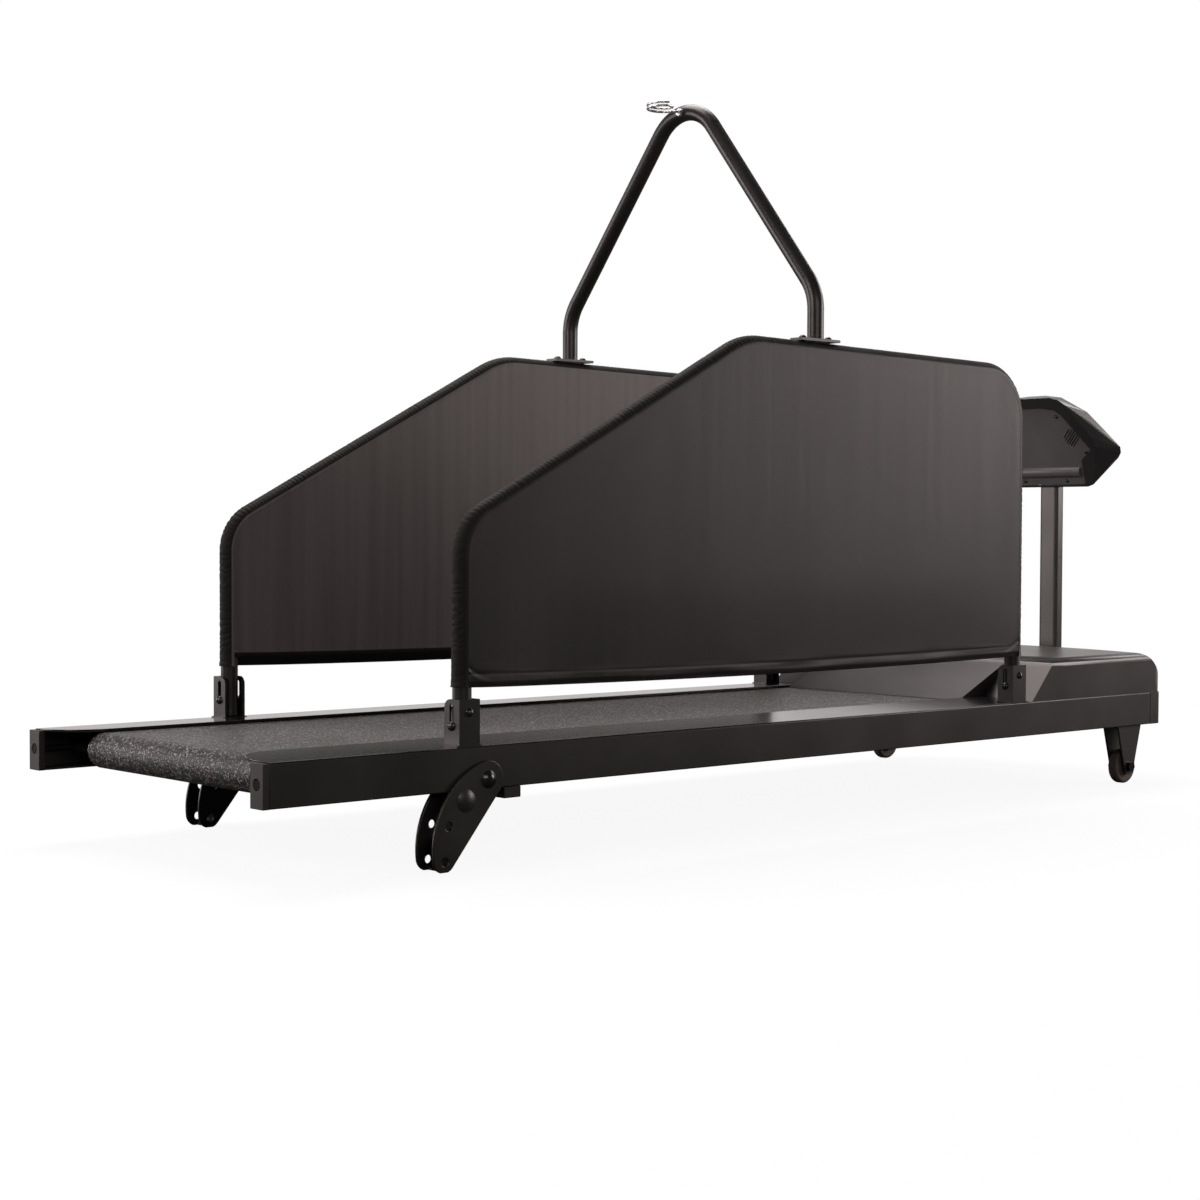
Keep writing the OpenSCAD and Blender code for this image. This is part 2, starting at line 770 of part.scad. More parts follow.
module front_roller() { color("#8d8f92") translate([front_roller_x, 0, roller_z]) roller(); }

// Roller pulley: on the front roller's left end
module roller_pulley() {
    color("#6d6f72") translate([front_roller_x, 0, roller_z]) difference() {
        rod_y(roller_pulley_d, pulley_y, pulley_y + pulley_w);
        rod_y(axle_d + 2 * cut, pulley_y - cut, pulley_y + pulley_w + cut);
    }
}

// Front axle: clamped between the rails' webs
module front_axle() {
    color("#2a2a2b") translate([front_roller_x, 0, roller_z]) rod_y(axle_d, -web_in, web_in);
}

// Motor: a closed body with a bore for its shaft
module motor_body() {
    color("#303236") translate([motor_x, 0, motor_z]) difference() {
        union() {
            rod_y(motor_d, motor_y0, motor_y1 - 20);
            rod_y(motor_d - 8, motor_y1 - 20, motor_y1);
        }
        rod_y(shaft_d + 2 * run, motor_y1 - 60, motor_y1 + cut);
    }
}

// Motor mount: a cradle on the belly pan
module motor_mount() {
    y = (motor_y0 + motor_y1) / 2;
    color("#202022") difference() {
        box([motor_x - cradle_l / 2, motor_x + cradle_l / 2], [y - cradle_w / 2, y + cradle_w / 2],
            [rail_z + pan_t, motor_z - motor_d / 4]);
        translate([motor_x, 0, motor_z]) rod_y(motor_d + 2 * slack, y - cradle_w, y + cradle_w);
    }
}

// Rotor: shaft, flywheel and motor pulley in one turning piece
module motor_rotor() {
    color("#77797d") translate([motor_x, 0, motor_z]) {
        rod_y(shaft_d, motor_y1 - 58, pulley_y + pulley_w);
        rod_y(flywheel_d, flywheel_y, flywheel_y + flywheel_w);
        rod_y(motor_pulley_d, pulley_y, pulley_y + pulley_w);
    }
}

// A solid round both pulleys at a distance from them, of a given width
module drive_loop(grow, y0, y1) {
    a = [front_roller_x, roller_z];
    b = [motor_x, motor_z];
    ra = roller_pulley_d / 2 + grow;
    rb = motor_pulley_d / 2 + grow;
    lean = atan2(b.y - a.y, b.x - a.x);
    off = acos((ra - rb) / norm(b - a));
    n = [for (s = [1, -1]) [cos(lean + s * off), sin(lean + s * off)]];
    translate([a.x, 0, a.y]) rod_y(2 * ra, y0, y1);
    translate([b.x, 0, b.y]) rod_y(2 * rb, y0, y1);
    slab_y(y0, y1) polygon([a + (ra - seam_t) * n[0], b + (rb - seam_t) * n[0], b + (rb - seam_t) * n[1],
        a + (ra - seam_t) * n[1]]);
}

// Drive belt: from the motor pulley to the roller pulley
module drive_belt() {
    y0 = pulley_y + 2;
    y1 = pulley_y + pulley_w - 2;
    color("#101010") difference() {
        drive_loop(gap + drive_t + seam_t, y0, y1);
        drive_loop(gap + seam_t, y0 - cut, y1 + cut);
    }
}

// Motor controller: a finned box on the belly pan
module motor_controller() {
    fins = 6;
    fin_t = 3;
    fin_h = 14;
    y0 = control_y - control_w / 2;
    pitch = (control_w - fin_t) / (fins - 1);
    z0 = rail_z + pan_t;
    color("#4a4d52") {
        box([control_x, control_x + control_l], [y0, y0 + control_w], [z0, z0 + control_h - fin_h]);
        for (i = [0 : fins - 1])
            box([control_x, control_x + control_l], [y0 + i * pitch, y0 + i * pitch + fin_t],
                [z0, z0 + control_h]);
    }
}

// A rear slope of the hood, from its foot at x0 up to the top, with a round brow where it levels out
function brow(x0, run) =
    let (a = atan2(hood_h, run), x1 = x0 + run + hood_brow_r * tan(a / 2))
    concat([[x0, rail_top]], [for (i = [0 : brow_n]) let (b = a * (1 - i / brow_n))
        [x1 - hood_brow_r * sin(b), hood_top - hood_brow_r * (1 - cos(b))]]);

// What a round shoulder takes off the hood's left top edge
module hood_shoulder(inset) {
    r = hood_edge_r - inset;
    slab_x(cheek_x, nose_x)
        translate([half_w - hood_step - inset - r, hood_top - inset - r]) difference() {
            square(r + cut);
            circle(r = r);
        }
}

// The hood's outer form drawn in by an inset, open below by the same amount
module hood_form(inset) {
    z0 = rail_top - (inset > 0 ? cut : 0);
    top = hood_top - inset;
    r = hood_face - inset;
    rr = hood_r - inset;
    cheek_in = inset / sin(atan2(hood_h, cheek_run));
    ramp_in = inset / sin(atan2(hood_h, ramp_run));
    difference() {
        intersection() {
            translate([bow_x, 0, 0]) rotate_extrude($fn = bow_fn) {
                translate([0, z0]) square([r - rr, top - z0]);
                translate([0, z0]) square([r, top - rr - z0]);
                translate([r - rr, top - rr]) circle(r = rr);
            }
            translate([0, 0, z0]) linear_extrude(hood_h + 2 * cut) bow_plan(hood_step + inset);
            union() {
                slab_y(-half_w, half_w) polygon(concat(brow(cheek_x + cheek_in, cheek_run),
                    [[nose_x, hood_top], [nose_x, z0], [cheek_x + cheek_in, z0]]));
                slab_y(-ramp_half + inset, ramp_half - inset) polygon(concat(brow(ramp_x + ramp_in, ramp_run),
                    [[nose_x, hood_top], [nose_x, z0], [ramp_x + ramp_in, z0]]));
            }
        }
        pair() hood_shoulder(inset);
    }
}

// Motor hood: a moulded shell with a ramp down to the belt and two spot faces for its screws
module motor_hood() {
    color("#1f1e1e") difference() {
        hood_form(0);
        hood_form(hood_wall);
        pair() translate([0, hood_screw_y, hood_screw_z]) {
            rod_x(hood_screw_d + 2 * slack, hood_screw_x - 3 * hood_wall, nose_x);
            rod_x(hood_screw_head + 2, hood_screw_x, nose_x);
        }
    }
}

// Hood screws: through the hood's front into the pan's tabs
module hood_screws() {
    color("#2c2c2e") pair() translate([0, hood_screw_y, hood_screw_z]) {
        rod_x(hood_screw_d, tab_x - tab_t, hood_screw_x);
        translate([hood_screw_x, 0, 0]) rotate([0, 90, 0]) dome(hood_screw_head, 3);
    }
}

// Power inlet: a mains socket and the seat of the rocker switch in one housing
module power_inlet() {
    blade = [12, 2, 5];
    blade_step = 7;
    room_h = rocker_h + 2 * rocker_room;
    room_w = rocker_w + 2 * gap;
    color("#111111") difference() {
        union() {
            box([flat_x, flat_x + inlet_rim_t],
                [inlet_y - inlet_w / 2 - inlet_rim, inlet_y + inlet_w / 2 + inlet_rim],
                [inlet_z - inlet_h / 2 - inlet_rim, inlet_z + inlet_h / 2 + inlet_rim]);
            box([flat_x - inlet_deep, flat_x], [inlet_y - inlet_w / 2, inlet_y + inlet_w / 2],
                [inlet_z - inlet_h / 2, inlet_z + inlet_h / 2]);
        }
        difference() {
            box([flat_x + inlet_rim_t - socket_deep, flat_x + inlet_rim_t + cut],
                [socket_y - socket_w / 2, socket_y + socket_w / 2],
                [inlet_z - socket_h / 2, inlet_z + socket_h / 2]);
            for (i = [-1 : 1]) translate([flat_x + inlet_rim_t - socket_deep,
                socket_y + i * blade_step - blade.y / 2,
                inlet_z - blade.z / 2 + (i == 0 ? 2 : -2)]) cube(blade);
        }
        box([flat_x - rocker_t - 2, flat_x + inlet_rim_t + cut],
            [rocker_y - room_w / 2, rocker_y + room_w / 2],
            [inlet_z - room_h / 2, inlet_z + room_h / 2]);
        translate([flat_x - 1, rocker_y, inlet_z])
            rod_y(rocker_stub_d + 2 * run, -room_w / 2 - 2, room_w / 2 + 2);
    }
}

// Power rocker: tilts on its two stubs
module power_rocker() {
    color("#7a1515") translate([flat_x - 1, rocker_y, inlet_z]) {
        rod_y(rocker_stub_d, -rocker_w / 2 - 1.5, rocker_w / 2 + 1.5);
        rotate([0, rocker_rest, 0])
            box([-rocker_t / 2, rocker_t / 2 + 2], [-rocker_w / 2, rocker_w / 2],
                [-rocker_h / 2, rocker_h / 2]);
    }
}

// A wheel fork's plate: wide under the rail, round at the wheel's bolt
module fork_plate() {
    difference() {
        union() {
            translate([wheel_x, wheel_z]) circle(r = fork_end_r);
            polygon([[wheel_x - fork_end_r, wheel_z], [wheel_x + fork_end_r, wheel_z],
                [wheel_x + fork_top_l / 2, rail_z], [wheel_x - fork_top_l / 2, rail_z]]);
        }
        translate([wheel_x, wheel_z]) circle(d = wheel_bolt_d + 2 * slack);
    }
}

// Wheel forks: two plates under a top plate, fixed below the rails
module wheel_forks() {
    color("#1b1a1a") pair() {
        slab_y(fork_in, fork_in + fork_t) fork_plate();
        slab_y(fork_out - fork_t, fork_out) fork_plate();
        box([wheel_x - fork_top_l / 2, wheel_x + fork_top_l / 2], [fork_in, fork_out],
            [rail_z - fork_t, rail_z]);
    }
}

// A transport wheel: rounded tread, hub and bore
module wheel() {
    tread_r = 5;
    hub = fork_gap / 2 - gap;
    translate([wheel_x, wheel_y, wheel_z]) rotate([-90, 0, 0]) difference() {
        union() {
            rotate_extrude() {
                translate([0, -wheel_w / 2]) square([wheel_d / 2 - tread_r, wheel_w]);
                translate([0, -wheel_w / 2 + tread_r]) square([wheel_d / 2, wheel_w - 2 * tread_r]);
                for (s = [1, -1])
                    translate([wheel_d / 2 - tread_r, s * (wheel_w / 2 - tread_r)]) circle(r = tread_r);
            }
            translate([0, 0, -hub]) cylinder(d = wheel_hub_d, h = 2 * hub);
        }
        translate([0, 0, -wheel_d]) cylinder(d = wheel_bolt_d + 2 * run, h = 2 * wheel_d);
    }
}

module right_wheel() { color("#4a423c") mirror([0, 1, 0]) wheel(); }

module left_wheel() { color("#4a423c") wheel(); }

// Wheel bolts: the wheels' axles, with a hexagon head outside and a nut inside
module wheel_bolts() {
    color("#2c2c2e") pair() translate([wheel_x, 0, wheel_z]) {
        rod_y(wheel_bolt_d, fork_in, fork_out);
        translate([0, fork_out, 0]) rotate([-90, 0, 0])
            cylinder(d = wheel_bolt_head, h = wheel_head_h, $fn = 6);
        translate([0, fork_in - wheel_head_h, 0]) rotate([-90, 0, 0])
            cylinder(d = wheel_bolt_head, h = wheel_head_h, $fn = 6);
    }
}

// A leg plate's outline: round head and foot, straight front edge, bulged rear edge, flat sole
module leg_outline() {
    far = 1.5 * leg_bulge_r;
    difference() {
        union() {
            translate(pivot) circle(r = leg_head_r);
            translate(foot) circle(r = leg_foot_r);
            intersection() {
                translate(bulge_c) circle(r = leg_bulge_r, $fn = 2 * $fn);
                polygon([pivot + leg_head_r * leg_front, pivot, bulge_c + far * unit(pivot - bulge_c),
                    bulge_c + far * unit(foot - bulge_c), foot, foot + leg_foot_r * leg_front]);
            }
        }
        translate([foot.x - leg_bulge_r, -leg_bulge_r]) square([2 * leg_bulge_r, leg_bulge_r]);
        translate(pivot) circle(d = pivot_d + 2 * run);
        for (p = concat([pin_at], spare_pins)) translate(p) circle(d = pin_d + 2 * run);
    }
}

// The web that joins a leg's plates along the lower front edge and under the foot
module leg_web() {
    up = unit(pivot - foot - (leg_foot_r - leg_head_r) * leg_front);
    low = foot + leg_foot_r * leg_front;
    polygon([low, low + web_l * up, low + web_l * up - leg_t * leg_front, low - leg_t * leg_front]);
    intersection() {
        translate(foot) difference() {
            circle(r = leg_foot_r);
            circle(r = leg_foot_r - leg_t);
        }
        polygon([foot, low + leg_t * leg_front, [low.x, foot.y - 2 * leg_foot_r],
            [foot.x, foot.y - 2 * leg_foot_r]]);
        leg_outline();
    }
}

// A rear leg: two plates astride the rail, joined by a web and by the sleeve that stops under the rail
module leg() {
    slab_y(leg_out, leg_out + leg_t) leg_outline();
    slab_y(leg_in - leg_t, leg_in) leg_outline();
    slab_y(leg_in, leg_out) leg_web();
    translate([pin_at.x, 0, pin_at.y]) difference() {
        rod_y(sleeve_d, leg_in, leg_out);
        rod_y(pin_d + 2 * run, leg_in - cut, leg_out + cut);
    }
}

module right_leg() { color("#19191a") mirror([0, 1, 0]) leg(); }

module left_leg() { color("#19191a") leg(); }

// Leg pivot bolts: through both leg plates and the rail's web, with a nut inside
module leg_pivot_bolts() {
    y_head = leg_out + leg_t + gap;
    y_nut = leg_in - leg_t - gap;
    color("#111112") pair() translate([pivot.x, 0, pivot.y]) {
        rod_y(pivot_d, y_nut, y_head);
        translate([0, y_head, 0]) rotate([-90, 0, 0]) dome(pivot_head_d, pivot_head_h);
        translate([0, y_nut - pivot_head_h, 0]) rotate([-90, 0, 0])
            cylinder(d = pivot_head_d - 4, h = pivot_head_h, $fn = 6);
    }
}

// An incline pin: a plain pin through the leg's sleeve, with a round cap to pull it by
module incline_pin() {
    y_cap = leg_out + leg_t + gap;
    translate([pin_at.x, 0, pin_at.y]) {
        rod_y(pin_d, leg_in - leg_t, y_cap);
        translate([0, y_cap, 0]) rotate([-90, 0, 0]) dome(pin_cap_d, pin_cap_h);
    }
}

module right_incline_pin() { color("#202022") mirror([0, 1, 0]) incline_pin(); }

module left_incline_pin() { color("#202022") incline_pin(); }

// Pads under the rails, in front of the legs
module rail_pads() {
    color("#161616") pair() box([pad_x, pad_x + pad_l], [pad_y0, pad_y1], [rail_z - pad_h, rail_z]);
}

// An ear of a guard bracket, in y and z: round inner corner and a slot for the guard bolt
module bracket_ear() {
    y0 = half_w - bracket_reach;
    top = rail_top + bracket_h;
    slot = guard_bolt_d + 2 * gap;
    difference() {
        union() {
            translate([y0, rail_top]) square([bracket_reach - bracket_t / 2, bracket_h - ear_corner]);
            translate([y0 + ear_corner, rail_top])
                square([bracket_reach - ear_corner - bracket_t / 2, bracket_h]);
            translate([y0 + ear_corner, top - ear_corner]) circle(r = ear_corner);
        }
        for (lift = [0, guard_lift]) translate([tube_y, bolt_z + lift]) circle(d = slot);
        translate([tube_y - slot / 2, bolt_z]) square([slot, guard_lift]);
    }
}

// A guard bracket around a guard tube's foot: foot plate, outer plate and two slotted ears
module guard_bracket() {
    difference() {
        union() {
            box([-bracket_foot / 2, bracket_foot / 2], [half_w - bracket_reach, half_w],
                [rail_top, rail_top + bracket_t]);
            box([-ear_x - bracket_t, ear_x + bracket_t], [web_in, half_w], [rail_top, rail_top + bracket_h]);
            for (s = [1, -1]) slab_x(s > 0 ? ear_x : -ear_x - bracket_t, s > 0 ? ear_x + bracket_t : -ear_x)
                bracket_ear();
        }
        translate([0, 0, set_z]) rod_y(set_d + 2 * slack, web_in - cut, half_w + cut);
    }
}

module guard_brackets() {
    color("#1b1a1a") pair() for (x = [guard_x, guard_x1]) translate([x, 0, 0]) guard_bracket();
}

// Set screws: in the brackets' outer plates, just clear of the guard tubes
module bracket_set_screws() {
    color("#0f0f10") pair() for (x = [guard_x, guard_x1]) translate([x, 0, set_z]) {
        rod_y(set_d, tube_y + tube_d / 2 + gap, half_w);
        translate([0, half_w, 0]) rotate([-90, 0, 0]) dome(set_head_d, 4);
    }
}

// A drawing along the guard's plane, moved to the left guard's tube axis
module in_guard_plane() {
    translate([0, tube_y, 0]) rotate([90, 0, 0]) children();
}

// Holes through a guard for its bracket bolts and the arch's screws
module guard_holes() {
    for (x = [guard_x, guard_x1]) translate([x, tube_y, bolt_z])
        rod_x(guard_bolt_d + 2 * slack, -tube_d, tube_d);
    for (s = [1, -1]) translate([arch_x + s * arch_screw_x, tube_y, arch_seat])
        cylinder(d = arch_screw_d + 2 * slack, h = tube_d);
}

// A guard frame: one tube bent into an upside-down U with a sloping rear
module guard_frame() {
    difference() {
        in_guard_plane() bent_tube(guard_path, guard_bends, tube_d, tube_wall, tube_wall + 2 * seam_t);
        guard_holes();
    }
}

module right_guard_frame() { color("#1b1a1a") mirror([0, 1, 0]) guard_frame(); }

module left_guard_frame() { color("#1b1a1a") guard_frame(); }

// A guard cover: a cloth sleeve round the tube, with the stretched sheet and its lower hem
module guard_cover() {
    arc_n = 10;
    inset = cover_bore / 2 + cloth_t / 2;
    sheet = [for (i = [1 : 3], k = [0 : arc_n]) let (
        c = bend_centre(cover_path, guard_bends, i),
        from = bend_start(cover_path, guard_bends, i) - c,
        a = atan2(from.y, from.x) - turn(cover_path, i) * k / arc_n)
        c + (guard_bends[i] - inset) * [cos(a), sin(a)]];
    x0 = guard_x + inset;
    x1 = guard_x1 - inset;
    difference() {
        in_guard_plane() {
            bent_tube(cover_path, guard_bends, cover_d, cloth_t, cloth_t - 2 * seam_t);
            translate([0, 0, -sheet_t / 2]) linear_extrude(sheet_t)
                polygon(concat([[x0, hem_z]], sheet, [[x1, hem_z]]));
            translate([0, 0, -hem_t / 2]) linear_extrude(hem_t)
                translate([x0, hem_z]) square([x1 - x0, hem_w]);
        }
        guard_holes();
    }
}

module right_guard_cover() { color("#1a1818") mirror([0, 1, 0]) guard_cover(); }

module left_guard_cover() { color("#1a1818") guard_cover(); }

// Guard bolts: across the guard tubes, in the slots of the brackets' ears
module guard_bolts() {
    x_head = ear_x + bracket_t + gap;
    color("#111112") pair() for (x = [guard_x, guard_x1]) translate([x, tube_y, bolt_z]) {
        rod_x(guard_bolt_d, -x_head, x_head);
        translate([-x_head, 0, 0]) rotate([0, -90, 0]) dome(bolt_head_d, bolt_head_h);
        translate([x_head, 0, 0]) rotate([0, 90, 0]) cylinder(d = bolt_head_d, h = bolt_head_h, $fn = 6);
    }
}

// Leash arch: one tube over the belt, with a foot plate on each guard
module leash_arch() {
    color("#1b1a1a") translate([arch_x, 0, 0]) {
        difference() {
            rotate([90, 0, 90]) bent_tube(arch_path, arch_bends, tube_d, tube_wall, tube_wall + 2 * seam_t);
            translate([0, 0, hook_z]) rod_x(hook_d + 2 * slack, -tube_d, 0);
        }
        pair() difference() {
            box([-arch_foot_l / 2, arch_foot_l / 2], [tube_y - tube_d / 2, tube_y + tube_d / 2],
                [arch_foot_z, arch_foot_z + arch_foot_t]);
            for (s = [1, -1]) translate([s * arch_screw_x, tube_y, arch_foot_z - cut])
                cylinder(d = arch_screw_d + 2 * slack, h = arch_foot_t + 2 * cut);
        }
    }
}

// Arch screws: through the arch's foot plates into the guards' top rails
module arch_screws() {
    color("#111112") pair() for (s = [1, -1])
        translate([arch_x + s * arch_screw_x, tube_y, arch_foot_z + arch_foot_t]) {
            translate([0, 0, -arch_screw_l]) cylinder(d = arch_screw_d, h = arch_screw_l);
            dome(arch_screw_head, 5);
        }
}

// The leash hook's wire: a stem, a bend and a rising spiral, as points on its axis
hook_stem = [[arch_x - tube_d / 2 + 3, 0, hook_z], [hook_stem_x, 0, hook_z], [hook_bend_x, 0, hook_z]];
hook_turn = [for (a = [22.5 : 22.5 : 90])
    [hook_bend_x - hook_bend * sin(a), hook_bend * (1 - cos(a)), hook_z]];
hook_loop_x = hook_bend_x - hook_bend - hook_r;
hook_loop_y = hook_bend;
hook_loops = [for (k = [1 : hook_turns * hook_steps]) let (a = 360 * k / hook_steps)
    [hook_loop_x + hook_r * cos(a), hook_loop_y + hook_r * sin(a), hook_z + hook_pitch * k / hook_steps]];
hook_axis = concat(hook_stem, hook_turn, hook_loops);

// Direction of the wire at point i
function hook_way(i) =
    unit(hook_axis[min(i + 1, len(hook_axis) - 1)] - hook_axis[max(i - 1, 0)]);

// Ring of the wire at point i, square to its direction
function hook_ring(i) =
    let (w = hook_way(i), side = unit(cross([0, 0, 1], w)), up = cross(w, side))
    [for (k = [0 : hook_sides - 1]) let (a = 360 * k / hook_sides)
        hook_axis[i] + hook_d / 2 * (cos(a) * side + sin(a) * up)];

// Least gap between wire in different turns of the hook
hook_self_gap = min([for (i = [0 : len(hook_loops) - 1], j = [i + hook_steps / 2 : 1 : len(hook_loops) - 1])
    norm(hook_loops[i] - hook_loops[j])]) - hook_d;
echo(hook_self_gap = hook_self_gap);

// Leash hook: a chrome wire pigtail that a leash slips into
module leash_hook() {
    n = len(hook_axis);
    m = hook_sides;
    rings = [for (i = [0 : n - 1]) each hook_ring(i)];
    sides = [for (i = [0 : n - 2], k = [0 : m - 1]) let (a = i * m + k, b = i * m + (k + 1) % m)
        each [[a, a + m, b], [b, a + m, b + m]]];
    ends = [for (k = [1 : m - 2]) each [[0, k, k + 1], [(n - 1) * m, (n - 1) * m + k + 1, (n - 1) * m + k]]];
    color("#c9ccd0") polyhedron(points = rings, faces = concat(sides, ends));
}

// Hook nut: against the arch's crown
module hook_nut() {
    color("#b9bcc0") translate([0, 0, hook_z]) difference() {
        translate([hook_stem_x, 0, 0]) rotate([0, 90, 0])
            cylinder(d = hook_nut_d, h = hook_nut_l - seam_t, $fn = 6);
        rod_x(hook_d + 2 * slack, hook_stem_x - cut, arch_x);
    }
}

// The console's own frame: x square to its face, z up along its face
module in_console() {
    translate([con_x, 0, con_z]) rotate([0, -con_tilt, 0]) children();
}

// Console post: a rectangular tube with a foot plate and a leaning head for the console's lip
module console_post() {
    color("#1b1a1a") difference() {
        union() {
            box([post_x, post_x + post_d], [-post_w / 2, post_w / 2], [post_z0, con_z + 30]);
            box([flat_x, post_x], [-post_plate_w / 2, post_plate_w / 2], [post_z0, rail_top - 3]);
            in_console() box([head_w0, head_w0 + head_t], [-head_w / 2, head_w / 2], [2, 2 + head_h]);
        }
        box([post_x + post_wall, post_x + post_d - post_wall],
            [-post_w / 2 + post_wall, post_w / 2 - post_wall],
            [post_z0 - cut, con_z + 5]);
        for (z = post_bolt_zs) translate([0, 0, z])
            rod_x(post_bolt_d + 2 * slack, flat_x - cut, post_x + post_d + cut);
        in_console() pair() translate([0, lip_screw.x, lip_screw.y])
            rod_x(boss_screw_d + slack, head_w0 - cut, head_w0 + head_t - 2);
    }
}

// Post bolts: through the post and its plate into the bumper
module post_bolts() {
    wall = pan_t + 1;
    x_nut = flat_x - wall;
    x_head = post_x + post_d;
    color("#111112") for (z = post_bolt_zs) translate([0, 0, z]) {
        rod_x(post_bolt_d, x_nut, x_head);
        translate([x_head, 0, 0]) rotate([0, 90, 0]) dome(post_bolt_d + 6, 5);
        translate([x_nut - 6, 0, 0]) rotate([0, 90, 0]) cylinder(d = post_bolt_d + 6, h = 6, $fn = 6);
    }
}

// The console's flared form between its rear and front rims, drawn in by an inset
module console_form(w0, w1, inset) {
    hull() {
        slab_x(w0, w0 + 2) offset(delta = -inset) polygon(whole(rear_half));
        slab_x(w1 - 2, w1) offset(delta = -inset) polygon(whole(front_half));
    }
}

// Console housing: a flared shell with the window, the button holes and posts for what it holds
module console_housing() {
    color("#1a1a1c") in_console() difference() {
        union() {
            difference() {
                console_form(0, con_t, 0);
                console_form(lip_t, front_w0, con_wall);
                slab_x(-cut, lip_t + cut) offset(delta = slack) polygon(whole(back_half));
            }
            pair() for (p = boss_at) translate([0, p.x, p.y]) rotate([0, 90, 0])
                translate([0, 0, head_w0]) cylinder(d = boss_d, h = front_w0 - head_w0 + cut);
            pair() for (p = board_posts) translate([0, p.x, p.y]) rotate([0, 90, 0])
                translate([0, 0, board_w + board_t])
                    cylinder(d = board_post_d, h = front_w0 - board_w - board_t + cut);
        }
        pair() for (p = boss_at) translate([0, p.x, p.y])
            rod_x(boss_screw_d + slack, head_w0 - cut, head_w0 + 14);
        box([head_w0 - gap, head_w0 + head_t + cut], [-head_w / 2 - cut, head_w / 2 + cut], [-4, head_h + 5]);
        box([back_w0, con_t + 10], [-post_w / 2 - 2, post_w / 2 + 2], [-4, head_h]);
        box([front_w0 - cut, con_t + cut], [-lens_w / 2 + lens_rim, lens_w / 2 - lens_rim],
            [lens_v - lens_h / 2 + lens_rim, lens_v + lens_h / 2 - lens_rim]);
        box([con_t - lens_t, con_t + cut], [-lens_w / 2 - gap, lens_w / 2 + gap],
            [lens_v - lens_h / 2 - gap, lens_v + lens_h / 2 + gap]);
        for (y = button_ys) translate([0, y, button_v])
            rod_x(button_d + 2 * gap, front_w0 - cut, con_t + cut);
    }
}

// Console back: a recessed panel with speaker grilles, a rounded ridge and a lip on the post's head
module console_back() {
    color("#38353a") in_console() difference() {
        union() {
            slab_x(back_w0, head_w0) polygon(whole(back_half));
            intersection() {
                translate([back_w0 + 1, 0, ridge_v]) rod_y(ridge_d, -ridge_l / 2, ridge_l / 2);
                box([-ridge_d, head_w0], [-ridge_l, ridge_l], [0, con_h]);
            }
        }
        pair() {
            for (p = boss_at) translate([0, p.x, p.y]) rod_x(boss_screw_d + 2 * slack, -cut, con_t);
            translate([0, lip_screw.x, lip_screw.y]) rod_x(boss_screw_d + 2 * slack, -cut, con_t);
            translate([0, speaker_at.x, speaker_at.y]) rotate([grille_lean, 0, 0])
            for (i = [1 : grille_slots]) {
                t = (i - (grille_slots + 1) / 2) / ((grille_slots + 1) / 2);
                half = (speaker_d / 2 - 2) * sqrt(1 - t * t);
                y = t * (speaker_d / 2 - 2);
                box([back_w0 - cut, head_w0 + cut], [y - grille_slot / 2, y + grille_slot / 2],
                    [-half, half]);
            }
        }
    }
}

// Console screws: four hold the back panel, two hold the lip to the post's head
module console_screws() {
    color("#0f0f10") in_console() pair() for (p = concat(boss_at, [lip_screw])) translate([0, p.x, p.y]) {
        rod_x(boss_screw_d, back_w0, head_w0 + 10);
        translate([back_w0, 0, 0]) rotate([0, -90, 0]) dome(boss_head_d, 2.5);
    }
}

// Console board: the circuit board with one key switch behind each button
module console_board() {
    switch_d = 6;
    switch_h = 2.8;
    color("#1d5a35") in_console() {
        box([board_w, board_w + board_t], [-board_half, board_half], [board_v0, board_v1]);
        for (y = button_ys) if (abs(y) < board_half) translate([0, y, button_v])
            rod_x(switch_d, board_w, board_w + board_t + switch_h);
        for (s = [1, -1]) box([board_w, board_w + board_t],
            [min(s * board_half, s * (button_ys[3] + switch_d)),
                max(s * board_half, s * (button_ys[3] + switch_d))],
            [button_v - switch_d, button_v + switch_d]);
    }
}

// Speakers: behind the back panel's grilles
module speakers() {
    color("#2b2b2d") in_console() pair() translate([0, speaker_at.x, speaker_at.y]) {
        rod_x(speaker_d, head_w0, head_w0 + 4);
        rod_x(speaker_d * 0.6, head_w0 + 4, head_w0 + speaker_h);
    }
}

// Display window: a clear plate set flush into the housing's face
module display_window() {
    color("#10161a") in_console() box([con_t - lens_t, con_t], [-lens_w / 2, lens_w / 2],
        [lens_v - lens_h / 2, lens_v + lens_h / 2]);
}

// A push button: its cap stands proud of the face and a flange behind the face keeps it in
module push_button(i) {
    in_console() translate([0, button_ys[i], button_v]) {
        rod_x(button_d, front_w0 - button_travel - 2, con_t + button_proud);
        rod_x(button_d + 3, front_w0 - gap - button_flange, front_w0 - gap);
    }
}

module button_start() { color("#2e7d4a") push_button(2); }

module button_stop() { color("#9a2a2a") push_button(1); }

module button_faster() { color("#c8c9cb") push_button(3); }

module button_slower() { color("#c8c9cb") push_button(0); }

